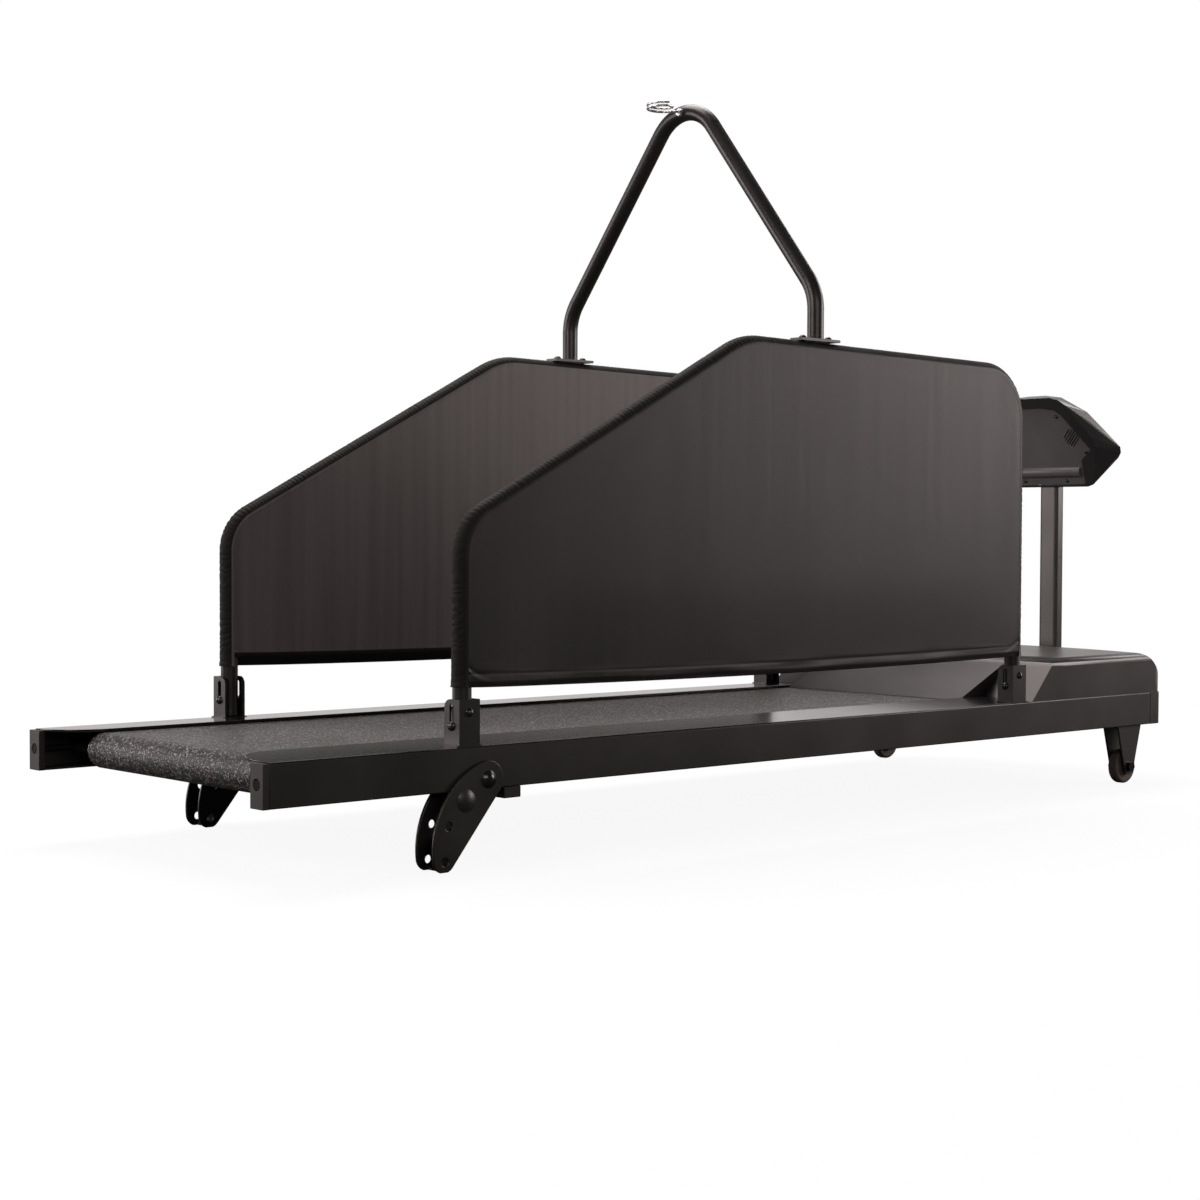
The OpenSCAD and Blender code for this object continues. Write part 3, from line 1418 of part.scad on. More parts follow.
place() right_rail();
place() left_rail();
place() rail_end_caps();
place() cross_members();
place() belly_pan();
place() right_foot_strip();
place() left_foot_strip();
place() deck_board();
place() deck_cushions();
place() running_belt();
place() rear_roller();
place() rear_axle();
place() tension_bolts();
place() roller_bearings();
place() front_roller();
place() roller_pulley();
place() front_axle();
place() motor_body();
place() motor_mount();
place() motor_rotor();
place() drive_belt();
place() motor_controller();
place() motor_hood();
place() hood_screws();
place() power_inlet();
place() power_rocker();
place() wheel_forks();
place() right_wheel();
place() left_wheel();
place() wheel_bolts();
place() right_leg();
place() left_leg();
place() leg_pivot_bolts();
place() right_incline_pin();
place() left_incline_pin();
place() rail_pads();
place() guard_brackets();
place() bracket_set_screws();
place() right_guard_frame();
place() left_guard_frame();
place() right_guard_cover();
place() left_guard_cover();
place() guard_bolts();
place() leash_arch();
place() arch_screws();
place() leash_hook();
place() hook_nut();
place() console_post();
place() post_bolts();
place() console_housing();
place() console_back();
place() console_screws();
place() console_board();
place() speakers();
place() display_window();
place() button_start();
place() button_stop();
place() button_faster();
place() button_slower();
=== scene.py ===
"""A dog treadmill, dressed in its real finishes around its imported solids."""
import json
import math

import bmesh
import bpy
from mathutils import Matrix, Vector, noise


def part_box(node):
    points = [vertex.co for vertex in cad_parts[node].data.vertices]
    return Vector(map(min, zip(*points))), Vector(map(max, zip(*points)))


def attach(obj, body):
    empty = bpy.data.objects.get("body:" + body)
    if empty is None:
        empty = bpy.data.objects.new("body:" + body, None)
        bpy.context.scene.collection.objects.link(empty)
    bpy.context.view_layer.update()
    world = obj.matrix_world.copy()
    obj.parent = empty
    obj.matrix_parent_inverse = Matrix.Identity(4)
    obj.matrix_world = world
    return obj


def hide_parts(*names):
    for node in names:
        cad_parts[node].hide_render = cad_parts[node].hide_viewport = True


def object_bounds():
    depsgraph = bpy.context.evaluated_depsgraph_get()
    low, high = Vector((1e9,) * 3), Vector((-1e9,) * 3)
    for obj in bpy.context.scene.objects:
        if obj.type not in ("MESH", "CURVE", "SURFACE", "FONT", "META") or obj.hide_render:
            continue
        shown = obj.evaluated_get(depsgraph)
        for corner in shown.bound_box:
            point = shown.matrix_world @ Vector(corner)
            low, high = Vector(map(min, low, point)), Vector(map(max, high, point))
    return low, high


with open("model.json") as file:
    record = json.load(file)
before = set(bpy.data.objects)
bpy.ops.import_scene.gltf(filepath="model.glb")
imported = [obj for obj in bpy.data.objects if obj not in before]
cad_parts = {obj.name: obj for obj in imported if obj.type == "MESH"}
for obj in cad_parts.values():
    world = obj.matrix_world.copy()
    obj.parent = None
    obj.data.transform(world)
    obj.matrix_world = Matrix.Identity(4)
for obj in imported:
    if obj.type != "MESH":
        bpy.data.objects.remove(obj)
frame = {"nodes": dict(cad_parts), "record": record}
cad_low, cad_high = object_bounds()
rear_end = cad_low.x

# The photograph's viewpoint: a low three-quarter view from behind the treadmill's right side.
# A slightly long lens stands about 3.5 m away, 0.44 m above the floor, and looks almost level.
photo_px = 1200.0
photo_focal_px = 2174.6
photo_centre_px = (600.85, 601.96)
eye = Vector((rear_end - 1.4426, -2.5165, 0.4428))
yaw, pitch, roll = math.radians(48.118), math.radians(1.884), math.radians(0.227)
forward = Vector((math.cos(pitch) * math.cos(yaw), math.cos(pitch) * math.sin(yaw), -math.sin(pitch)))
level_right = Vector((math.sin(yaw), -math.cos(yaw), 0.0))
level_up = level_right.cross(forward)
right = math.cos(roll) * level_right + math.sin(roll) * level_up
up = -math.sin(roll) * level_right + math.cos(roll) * level_up
lens = bpy.data.cameras.new("photo_lens")
lens.sensor_width = 36.0
lens.lens = photo_focal_px / photo_px * lens.sensor_width
lens.shift_x = (photo_px / 2 - photo_centre_px[0]) / photo_px
lens.shift_y = (photo_centre_px[1] - photo_px / 2) / photo_px
lens.clip_end = 60.0
camera = bpy.data.objects.new("photo_camera", lens)
turned = Matrix((right, up, -forward)).transposed().to_4x4()
camera.matrix_world = Matrix.Translation(eye) @ turned
bpy.context.scene.collection.objects.link(camera)
bpy.context.scene.camera = camera
bpy.context.scene.view_settings.view_transform = "Standard"


# The studio's sweep: a white backdrop, which the camera sees all round as plain white.
# Behind the object it also lights the treadmill, low down, and the rest of the room is dim.
def shader(tree, kind, sockets=None, **settings):
    made = tree.nodes.new("ShaderNode" + kind)
    for name, value in settings.items():
        setattr(made, name, value)
    for name, value in (sockets or {}).items():
        made.inputs[name].default_value = value
    return made


def wire(tree, *links):
    for source, target in links:
        tree.links.new(source, target)


def new_nodes(material_or_world):
    material_or_world.use_nodes = True
    tree = material_or_world.node_tree
    tree.nodes.clear()
    return tree


sweep_side = (0.667, 0.744, 0.0)
room_glow, sweep_glow = 0.05, 0.85
room_tint = (1.0, 0.965, 0.955, 1)
plain_white = (1, 1, 1, 1)
white_world = bpy.data.worlds.new("white_world")
tree = new_nodes(white_world)
seen = shader(tree, "LightPath")
any_seen = shader(tree, "Math", operation="MAXIMUM")
toward = shader(tree, "TexCoord")
height = shader(tree, "SeparateXYZ")
low_down = shader(tree, "MapRange", {"From Min": 0.5, "From Max": 0.2}, interpolation_type="SMOOTHSTEP")
behind = shader(tree, "VectorMath", {1: sweep_side}, operation="DOT_PRODUCT")
sweep = shader(tree, "MapRange", {"From Min": -0.15, "From Max": 0.75, "To Max": sweep_glow},
               interpolation_type="SMOOTHSTEP")
reach = shader(tree, "Math", {2: room_glow}, operation="MULTIPLY_ADD")
fill = shader(tree, "Background", {"Color": room_tint})
white = shader(tree, "Background", {"Color": plain_white, "Strength": 1.0})
mixed = shader(tree, "MixShader")
out = shader(tree, "OutputWorld")
wire(tree, (seen.outputs["Is Camera Ray"], any_seen.inputs[0]),
     (seen.outputs["Is Transmission Ray"], any_seen.inputs[1]),
     (toward.outputs["Generated"], behind.inputs[0]), (behind.outputs["Value"], sweep.inputs["Value"]),
     (toward.outputs["Generated"], height.inputs[0]), (height.outputs["Z"], low_down.inputs["Value"]),
     (sweep.outputs["Result"], reach.inputs[0]), (low_down.outputs["Result"], reach.inputs[1]),
     (reach.outputs[0], fill.inputs["Strength"]), (any_seen.outputs[0], mixed.inputs["Fac"]),
     (fill.outputs[0], mixed.inputs[1]), (white.outputs[0], mixed.inputs[2]),
     (mixed.outputs[0], out.inputs["Surface"]))
bpy.context.scene.world = white_world

# The studio floor: a matt white board that keeps the soft shadow near the object.
# Further off it fades into the plain white of the sweep.
floor_half, floor_drop = 16.0, 0.0005
shadow_reach, white_from = 1.0, 2.6
floor_pale, floor_matt = 0.92, (0.085, 0.085, 0.085, 1)
floor_corners = [(-floor_half, -floor_half, 0), (floor_half, -floor_half, 0),
                 (floor_half, floor_half, 0), (-floor_half, floor_half, 0)]
floor_mesh = bpy.data.meshes.new("floor")
floor_mesh.from_pydata(floor_corners, [], [(0, 1, 2, 3)])
floor = bpy.data.objects.new("studio_floor", floor_mesh)
floor.location.z = -floor_drop
bpy.context.scene.collection.objects.link(floor)
floor_paint = bpy.data.materials.new("studio_white")
tree = new_nodes(floor_paint)
place = shader(tree, "TexCoord")
far = shader(tree, "VectorMath", operation="LENGTH")
fade = shader(tree, "MapRange", {"From Min": shadow_reach, "From Max": white_from},
              interpolation_type="SMOOTHSTEP")
matt = shader(tree, "BsdfDiffuse", {"Color": floor_matt})
board_glow = shader(tree, "Emission")
lit = shader(tree, "AddShader")
white_glow = shader(tree, "Emission", {"Color": plain_white, "Strength": 1.0})
seen = shader(tree, "LightPath")
pale = shader(tree, "Math", {1: floor_pale}, operation="MULTIPLY")
only_seen = shader(tree, "Math", operation="MULTIPLY")
mixed = shader(tree, "MixShader")
out = shader(tree, "OutputMaterial")
wire(tree, (place.outputs["Object"], far.inputs[0]), (far.outputs["Value"], fade.inputs["Value"]),
     (fade.outputs["Result"], only_seen.inputs[0]), (seen.outputs["Is Camera Ray"], only_seen.inputs[1]),
     (seen.outputs["Is Camera Ray"], pale.inputs[0]), (pale.outputs[0], board_glow.inputs["Strength"]),
     (matt.outputs[0], lit.inputs[0]), (board_glow.outputs[0], lit.inputs[1]),
     (lit.outputs[0], mixed.inputs[1]), (white_glow.outputs[0], mixed.inputs[2]),
     (only_seen.outputs[0], mixed.inputs["Fac"]), (mixed.outputs[0], out.inputs["Surface"]))
floor_mesh.materials.append(floor_paint)


# Soft boxes round the object: a wide one overhead on the far side, the others smaller and lower.
# Each is a warm white panel that faces the point it is aimed at.
def soft_box(name, place, aim, width, height, watts):
    lamp = bpy.data.lights.new(name, "AREA")
    lamp.shape = "RECTANGLE"
    lamp.size, lamp.size_y, lamp.energy = width, height, watts
    lamp.color = (1.0, 0.955, 0.945)
    body = bpy.data.objects.new(name, lamp)
    body.location = place
    away = (Vector(place) - Vector(aim)).normalized()
    across = Vector((-away.y, away.x, 0.0)).normalized()
    body.rotation_euler = Matrix((across, away.cross(across), away)).transposed().to_euler()
    bpy.context.scene.collection.objects.link(body)


soft_box("overhead_box", (0.5, 1.4, 3.7), (0.5, 0.0, 0.2), width=4.0, height=1.8, watts=150)
soft_box("near_box", (3.4, -2.3, 1.2), (0.4, 0.0, 0.5), width=1.5, height=1.3, watts=54)
soft_box("front_box", (4.2, -0.2, 2.6), (0.4, 0.0, 0.4), width=2.4, height=1.4, watts=50)
soft_box("viewer_box", (-1.6, -4.0, 1.6), (0.0, 0.0, 0.4), width=2.4, height=1.4, watts=30)
soft_box("rear_box", (-3.4, -0.1, 1.6), (-0.6, 0.0, 0.3), width=1.2, height=1.6, watts=40)
soft_box("rear_left_box", (-2.6, 3.0, 1.0), (0.3, 0.0, 0.5), width=1.4, height=1.8, watts=45)


# The frame: two rails, the cross tubes between them and the pan under the drive are welded steel.
# They are powder-coated in satin black with a faint orange-peel skin, and the rails' and the
# pan's edges are eased as folded sheet is.
def ramp(tree, *stops):
    made = tree.nodes.new("ShaderNodeValToRGB")
    low, high = made.color_ramp.elements
    low.position, low.color = stops[0][0], (*stops[0][1], 1)
    high.position, high.color = stops[-1][0], (*stops[-1][1], 1)
    for position, colour in stops[1:-1]:
        made.color_ramp.elements.new(position).color = (*colour, 1)
    return made


def grained(name, colour, rough, grain_mm, deep_mm, rough_spread=0.08, mottle=0.25, metal=0.0, coat=0.0,
            shine=0.5):
    paint = bpy.data.materials.new(name)
    tree = new_nodes(paint)
    skin = shader(tree, "BsdfPrincipled", {
        "Metallic": metal, "Specular IOR Level": shine, "Specular Tint": (1.0, 0.9, 0.87, 1),
        "Coat Weight": coat, "Coat Roughness": 0.12})
    place = shader(tree, "TexCoord")
    grain = shader(tree, "TexNoise", {"Scale": 1000.0 / grain_mm, "Detail": 2.0})
    cloud = shader(tree, "TexNoise", {"Scale": 9.0, "Detail": 5.0})
    darker = [c * (1 - mottle) for c in colour]
    paler = [min(1.0, c * (1 + mottle)) for c in colour]
    tone = ramp(tree, (0.3, darker), (0.7, paler))
    gloss = shader(tree, "MapRange", {"To Min": rough - rough_spread, "To Max": rough + rough_spread})
    bump = shader(tree, "Bump", {"Strength": 0.5, "Distance": deep_mm / 1000.0})
    out = shader(tree, "OutputMaterial")
    wire(tree, (place.outputs["Object"], grain.inputs["Vector"]),
         (place.outputs["Object"], cloud.inputs["Vector"]),
         (cloud.outputs["Fac"], tone.inputs["Fac"]), (tone.outputs["Color"], skin.inputs["Base Color"]),
         (cloud.outputs["Fac"], gloss.inputs["Value"]), (gloss.outputs["Result"], skin.inputs["Roughness"]),
         (grain.outputs["Fac"], bump.inputs["Height"]), (bump.outputs["Normal"], skin.inputs["Normal"]),
         (skin.outputs["BSDF"], out.inputs["Surface"]))
    return paint


def dress(finish, *nodes):
    for node in nodes:
        mesh = frame["nodes"][node].data
        mesh.materials.clear()
        mesh.materials.append(finish)


def ease(finish, *nodes, round_mm, sharp_deg=35.0, steps=2, least_mm=0.0, clamp=True):
    sharp, level = math.radians(sharp_deg), math.radians(0.6)
    strip_width, bent_share = 0.014, 0.6
    same_point, same_way, same_plane = 2e-6, 0.99995, 2e-5
    for node in nodes:
        body = next(b for b, members in frame["record"]["behaviour"]["bodies"].items() if node in members)
        work = bmesh.new()
        work.from_mesh(frame["nodes"][node].data)
        bmesh.ops.remove_doubles(work, verts=work.verts, dist=same_point)
        bmesh.ops.dissolve_limit(work, angle_limit=level, verts=work.verts, edges=work.edges)
        flats = []
        for face in work.faces:
            bends = [e.calc_length() for e in face.edges
                     if len(e.link_faces) == 2 and level < e.calc_face_angle(0.0) < sharp]
            rim = face.calc_perimeter()
            if 2 * face.calc_area() / rim > strip_width or sum(bends) < bent_share * rim:
                flats.append((face.normal.copy(), face.normal.dot(face.verts[0].co)))
        corners = [e for e in work.edges if len(e.link_faces) == 2 and e.calc_face_angle(0.0) > sharp
                   and e.calc_length() > least_mm / 1000.0]
        bmesh.ops.bevel(work, geom=corners, offset=round_mm / 1000.0, offset_type="OFFSET", segments=steps,
                        profile=0.5, affect="EDGES", clamp_overlap=clamp)
        work.normal_update()
        on_flat = [any(n.dot(face.normal) > same_way and abs(n.dot(face.verts[0].co) - d) < same_plane
                       for n, d in flats) for face in work.faces]
        mesh = bpy.data.meshes.new(node + "_eased")
        work.to_mesh(mesh)
        work.free()
        mesh.set_sharp_from_angle(angle=math.radians(40.0))
        for polygon, flat in zip(mesh.polygons, on_flat):
            polygon.use_smooth = not flat
        mesh.materials.append(finish)
        piece = bpy.data.objects.new(node + "_eased", mesh)
        bpy.context.scene.collection.objects.link(piece)
        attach(piece, body)
        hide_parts(node)


powder_coat = grained("satin_powder_coat", (0.019, 0.0172, 0.0168), rough=0.36, grain_mm=1.1, deep_mm=0.05,
                      mottle=0.18)
ease(powder_coat, "right_rail", "left_rail", round_mm=2.0, steps=3, least_mm=25.0)
ease(powder_coat, "belly_pan", round_mm=3.0, steps=3, least_mm=25.0)
dress(powder_coat, "cross_members")

# End caps close the rails at the rear: moulded plugs with a sunk seat for the tension bolt.
# They are plain black plastic with a fine spark-eroded grain.
moulded_black = grained("moulded_black", (0.017, 0.0165, 0.0165), rough=0.45, grain_mm=0.7, deep_mm=0.06,
                        mottle=0.2)
ease(moulded_black, "rail_end_caps", round_mm=0.8)

# Foot strips clip onto the rails' tops on both sides of the belt, to step on.
# They are extruded in smooth black plastic and mirror the white studio along their edges.
strip_gloss = grained("strip_gloss", (0.009, 0.0085, 0.0085), rough=0.17, grain_mm=2.4, deep_mm=0.003,
                      rough_spread=0.02, mottle=0.15)
ease(strip_gloss, "right_foot_strip", "left_foot_strip", round_mm=1.6, steps=3)

# The deck is a waxed fibre board under the belt, seen only at the belt's edges.
# It lies on moulded rubber cushions on the cross tubes.
deck_wax = grained("waxed_deck", (0.05, 0.04, 0.033), rough=0.55, grain_mm=3.0, deep_mm=0.05)
plain_rubber = grained("plain_rubber", (0.012, 0.012, 0.012), rough=0.75, grain_mm=0.9, deep_mm=0.08)
dress(deck_wax, "deck_board")
dress(plain_rubber, "deck_cushions")


# The running belt: a woven carcass with a pebbled rubber face, tight round the two rollers.
# Each small pebble has its own grey, so the belt looks speckled, and the rubber is dull.
def pebbled_rubber():
    pebbles_per_m, pebble_deep = 470.0, 0.0007
    rubber = bpy.data.materials.new("pebbled_belt")
    tree = new_nodes(rubber)
    skin = shader(tree, "BsdfPrincipled", {"Specular IOR Level": 0.45})
    place = shader(tree, "TexCoord")
    pebble = shader(tree, "TexVoronoi", {"Scale": pebbles_per_m})
    tone = ramp(tree, (0.4, (0.006, 0.0053, 0.0052)), (0.66, (0.03, 0.0265, 0.0255)),
                (0.88, (0.3, 0.27, 0.258)))
    gloss = shader(tree, "MapRange", {"To Min": 0.62, "To Max": 0.42})
    bump = shader(tree, "Bump", {"Strength": 0.8, "Distance": pebble_deep}, invert=True)
    out = shader(tree, "OutputMaterial")
    wire(tree, (place.outputs["Object"], pebble.inputs["Vector"]),
         (pebble.outputs["Color"], tone.inputs["Fac"]), (tone.outputs["Color"], skin.inputs["Base Color"]),
         (pebble.outputs["Distance"], gloss.inputs["Value"]),
         (gloss.outputs["Result"], skin.inputs["Roughness"]),
         (pebble.outputs["Distance"], bump.inputs["Height"]),
         (bump.outputs["Normal"], skin.inputs["Normal"]), (skin.outputs["BSDF"], out.inputs["Surface"]))
    return rubber


dress(pebbled_rubber(), "running_belt")

# Rollers, bearings and pulleys are turned steel, and the axles and bolts black oxide steel.
# A rubber drive belt joins the motor's pulley to the front roller's.
turned_steel = grained("turned_steel", (0.42, 0.42, 0.43), rough=0.32, grain_mm=0.8, deep_mm=0.02, metal=1.0)
black_oxide = grained("black_oxide", (0.05, 0.05, 0.052), rough=0.2, grain_mm=0.6, deep_mm=0.012,
                      rough_spread=0.05, metal=0.85)
dress(turned_steel, "rear_roller", "front_roller", "roller_bearings", "roller_pulley", "motor_rotor")
dress(black_oxide, "rear_axle", "front_axle", "tension_bolts")
dress(plain_rubber, "drive_belt")

# The motor and its controller are aluminium castings, and the motor sits on a black oxide mount.
# The hood and the pan hide them from every side.
cast_aluminium = grained("cast_aluminium", (0.16, 0.165, 0.17), rough=0.5, grain_mm=1.2, deep_mm=0.05,
                         metal=0.9)
dress(cast_aluminium, "motor_body", "motor_controller")
dress(black_oxide, "motor_mount")

# The motor hood is one vacuum-formed shell: satin black, with a fine grain and soft edges.
# Two screws in its front hold it to the pan.
hood_plastic = grained("hood_plastic", (0.023, 0.0215, 0.021), rough=0.33, grain_mm=0.9, deep_mm=0.05,
                       mottle=0.15)
ease(hood_plastic, "motor_hood", round_mm=1.2, steps=3, least_mm=12.0)
dress(black_oxide, "hood_screws")

# The mains inlet and its rocker switch sit in the bumper's flat, beside the post's foot.
# The housing is moulded in black plastic and the rocker in red.
ease(moulded_black, "power_inlet", round_mm=0.5)
rocker_red = grained("rocker_red", (0.3, 0.02, 0.02), rough=0.3, grain_mm=0.8, deep_mm=0.01, mottle=0.1)
ease(rocker_red, "power_rocker", round_mm=0.6)

# The rear legs are folded steel in the frame's powder coat: each straddles its rail on a pivot bolt.
# A pin that pulls out sets the slant, and a rubber pad sits under the rail ahead of each leg.
ease(powder_coat, "right_leg", "left_leg", round_mm=1.2, clamp=False)
dress(powder_coat, "right_incline_pin", "left_incline_pin")
dress(black_oxide, "leg_pivot_bolts")
ease(plain_rubber, "rail_pads", round_mm=1.5)

# Transport wheels: moulded in hard brown-black rubber, each on a bolt in a fork under its rail.
# Their treads are dusty and matt.
ease(powder_coat, "wheel_forks", round_mm=0.8, least_mm=3.0)
wheel_rubber = grained("wheel_rubber", (0.085, 0.066, 0.053), rough=0.66, grain_mm=1.0, deep_mm=0.1)
dress(wheel_rubber, "right_wheel", "left_wheel")
dress(black_oxide, "wheel_bolts")

# The guards and the leash arch: bent steel tubes in a smooth black powder coat.
# The guards stand in slotted brackets on the rails, and screws tie the arch to both of them.
tube_coat = grained("tube_powder_coat", (0.0125, 0.0113, 0.011), rough=0.34, grain_mm=1.6, deep_mm=0.0012,
                    rough_spread=0.04, mottle=0.12)
dress(tube_coat, "right_guard_frame", "left_guard_frame", "leash_arch")
ease(tube_coat, "guard_brackets", round_mm=0.8, least_mm=3.0)
dress(black_oxide, "bracket_set_screws", "guard_bolts", "arch_screws")

# Guard covers: two nylon panels hang between the runs of each bent tube, stretched flat.
# A gathered sleeve is sewn round their edge and slipped over the tube, so its outside puckers,
# and the lower edge is turned under in a soft double hem between the brackets.
tube_low, tube_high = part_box("left_guard_frame")
tube_y = (tube_low.y + tube_high.y) / 2
guard_rear = rear_end + 0.318
guard_front = rear_end + 1.481
low_corner_z, top_corner_z, top_front_z = 0.447, 0.716, 0.704
slope_run, slope_cos = 0.518, 0.88
bend_radii = (0.062, 0.130, 0.080)
hem_low_z, hem_sag, hem_short = 0.2375, 0.0065, 0.0035
cloth_off_tube = 0.0139
face_dip, dip_run = 0.0009, 0.16
slack_deep, slack_high, slack_run = 0.0026, 0.15, 0.2
ripple_deep, ripple_run = 0.0011, 0.06
fold_deep, fold_up, fold_wide = 0.00015, 0.0095, 0.0055
seam_deep, seam_up, seam_wide = 0.00025, 0.0175, 0.0019
crease_deep, crease_high = 0.0009, 0.035
tuck_deep, tuck_run, tuck_up, tuck_climb = 0.0006, 0.052, 0.004, 0.017
tuck_wide, groove_up, groove_wide = 0.0028, 0.0052, 0.0024
gather_deep, gather_on_bend, gather_on_leg = 0.0013, 0.0066, 0.0098
sleeve_proud, cuff_deep, cuff_run = 0.0003, 0.0013, 0.005
panel_step, sleeve_step = 0.011, 0.0012
hem_row, hem_rows, panel_rows, painted_shade_rows = 0.00125, 22, 36, 16
sleeve_rounds, plain_rounds = 20, 2
outer, inner = 1.0, -1.0
turned_deep = {outer: 0.0012, inner: 0.0095}
turned_high = {outer: 0.009, inner: 0.019}
cover_seeds = {"right": 11.0, "left": 37.0}


def woven_nylon(name, depth, sheen):
    threads_per_m, thread_deep = 330.0, 0.00012
    streaks = (70.0, 70.0, 1.6)
    nylon = bpy.data.materials.new(name)
    tree = new_nodes(nylon)
    skin = shader(tree, "BsdfPrincipled", {
        "Specular IOR Level": 0.29, "Specular Tint": (1.0, 0.86, 0.84, 1), "Sheen Weight": sheen,
        "Sheen Roughness": 0.5, "Sheen Tint": (0.6, 0.5, 0.46, 1)})
    place = shader(tree, "TexCoord")
    warp = shader(tree, "TexWave", {"Scale": threads_per_m}, bands_direction="X")
    weft = shader(tree, "TexWave", {"Scale": threads_per_m}, bands_direction="Z")
    weave = shader(tree, "Math", operation="ADD")
    stretch = shader(tree, "Mapping", {"Scale": streaks})
    streak = shader(tree, "TexNoise", {"Scale": 1.0, "Detail": 4.0})
    tone = ramp(tree, (0.25, (0.8 * depth, 0.71 * depth, 0.71 * depth)),
                (0.75, (1.25 * depth, 1.11 * depth, 1.11 * depth)))
    gloss = shader(tree, "MapRange", {"To Min": 0.31, "To Max": 0.43})
    bump = shader(tree, "Bump", {"Strength": 0.35, "Distance": thread_deep})
    out = shader(tree, "OutputMaterial")
    wire(tree, (place.outputs["Object"], warp.inputs["Vector"]),
         (place.outputs["Object"], weft.inputs["Vector"]),
         (warp.outputs["Fac"], weave.inputs[0]), (weft.outputs["Fac"], weave.inputs[1]),
         (weave.outputs[0], bump.inputs["Height"]), (place.outputs["Object"], stretch.inputs["Vector"]),
         (stretch.outputs["Vector"], streak.inputs["Vector"]), (streak.outputs["Fac"], tone.inputs["Fac"]),
         (tone.outputs["Color"], skin.inputs["Base Color"]), (streak.outputs["Fac"], gloss.inputs["Value"]),
         (gloss.outputs["Result"], skin.inputs["Roughness"]),
         (bump.outputs["Normal"], skin.inputs["Normal"]), (skin.outputs["BSDF"], out.inputs["Surface"]))
    return nylon


def smooth(share):
    share = min(1.0, max(0.0, share))
    return share * share * (3 - 2 * share)


def bump_at(place, centre, width):
    return math.exp(-((place - centre) / width) ** 2)


def tube_path(step, with_legs):
    corners = [Vector((guard_rear, hem_low_z)), Vector((guard_rear, low_corner_z)),
               Vector((guard_rear + slope_run, top_corner_z)), Vector((guard_front, top_front_z)),
               Vector((guard_front, hem_low_z))]
    points = corners[:1] if with_legs else []

    def straight_to(end):
        start = points[-1]
        runs = max(1, round((end - start).length / step))
        points.extend(start.lerp(end, k / runs) for k in range(1, runs + 1))

    for before, corner, after, radius in zip(corners, corners[1:], corners[2:], bend_radii):
        come, go = (corner - before).normalized(), (after - corner).normalized()
        angle = come.angle(go)
        start = corner - come * radius * math.tan(angle / 2)
        if points:
            straight_to(start)
        else:
            points.append(start)
        centre = start + radius * Vector((come.y, -come.x))
        first = math.atan2(start.y - centre.y, start.x - centre.x)
        steps = max(8, round(radius * angle / step))
        for k in range(1, steps + 1):
            turn = first - angle * k / steps
            points.append(centre + radius * Vector((math.cos(turn), math.sin(turn))))
    if with_legs:
        straight_to(corners[-1])
    return points


def hem_z(x):
    share = min(1.0, max(0.0, (x - guard_rear) / (guard_front - guard_rear)))
    return hem_low_z - hem_sag * math.sin(math.pi * share) ** 0.7


def cloth_off(x, z, top_z, face, seed):
    from_tube = min(x - guard_rear, guard_front - x)
    inward = max(0.0, min(from_tube, (top_z - z) * slope_cos))
    above_hem = z - hem_z(x)
    dip = face_dip * smooth(inward / dip_run)
    slack = slack_deep * smooth(1.0 - above_hem / slack_high) * smooth(inward / slack_run)
    ripple = ripple_deep * noise.noise((x * 6.0, z * 2.4, seed + face)) * smooth(inward / ripple_run)
    worn = 1.0 + 0.9 * noise.noise((x * 14.0, face, seed))
    fold = fold_deep * bump_at(above_hem, fold_up, fold_wide)
    seam = seam_deep * bump_at(above_hem, seam_up, seam_wide)
    under = turned_deep[face] * smooth(1.0 - above_hem / turned_high[face])
    crease = crease_deep * noise.noise((x * 9.0, above_hem * 95.0, seed))
    crease *= smooth(1.0 - above_hem / crease_high)
    pull = max(0.0, 1.0 - from_tube / tuck_run)
    tuck_z = tuck_up + tuck_climb * pull * pull
    ridge = bump_at(above_hem, tuck_z, tuck_wide)
    groove = bump_at(above_hem, tuck_z + groove_up, groove_wide)
    tuck = tuck_deep * pull * (ridge - groove)
    return cloth_off_tube - dip - slack + ripple + worn * (fold - seam) + crease + tuck - under


def panel(face, seed):
    columns = []
    for spot in tube_path(panel_step, with_legs=False):
        low = hem_z(spot.x) + (0.0 if face == outer else hem_short)
        heights = [low + hem_row * r for r in range(hem_rows)]
        hem_top = heights[-1]
        heights += [hem_top + (spot.y - hem_top) * r / panel_rows for r in range(1, panel_rows + 1)]
        cloth = [(spot.x, face * cloth_off(spot.x, z, spot.y, face, seed), z) for z in heights]
        edge_off = abs(cloth[0][1])
        lip = [(spot.x, face * (edge_off - 0.0026), low + 0.006),
               (spot.x, face * (edge_off - 0.0016), low + 0.0005)]
        columns.append(lip + cloth)
    return columns


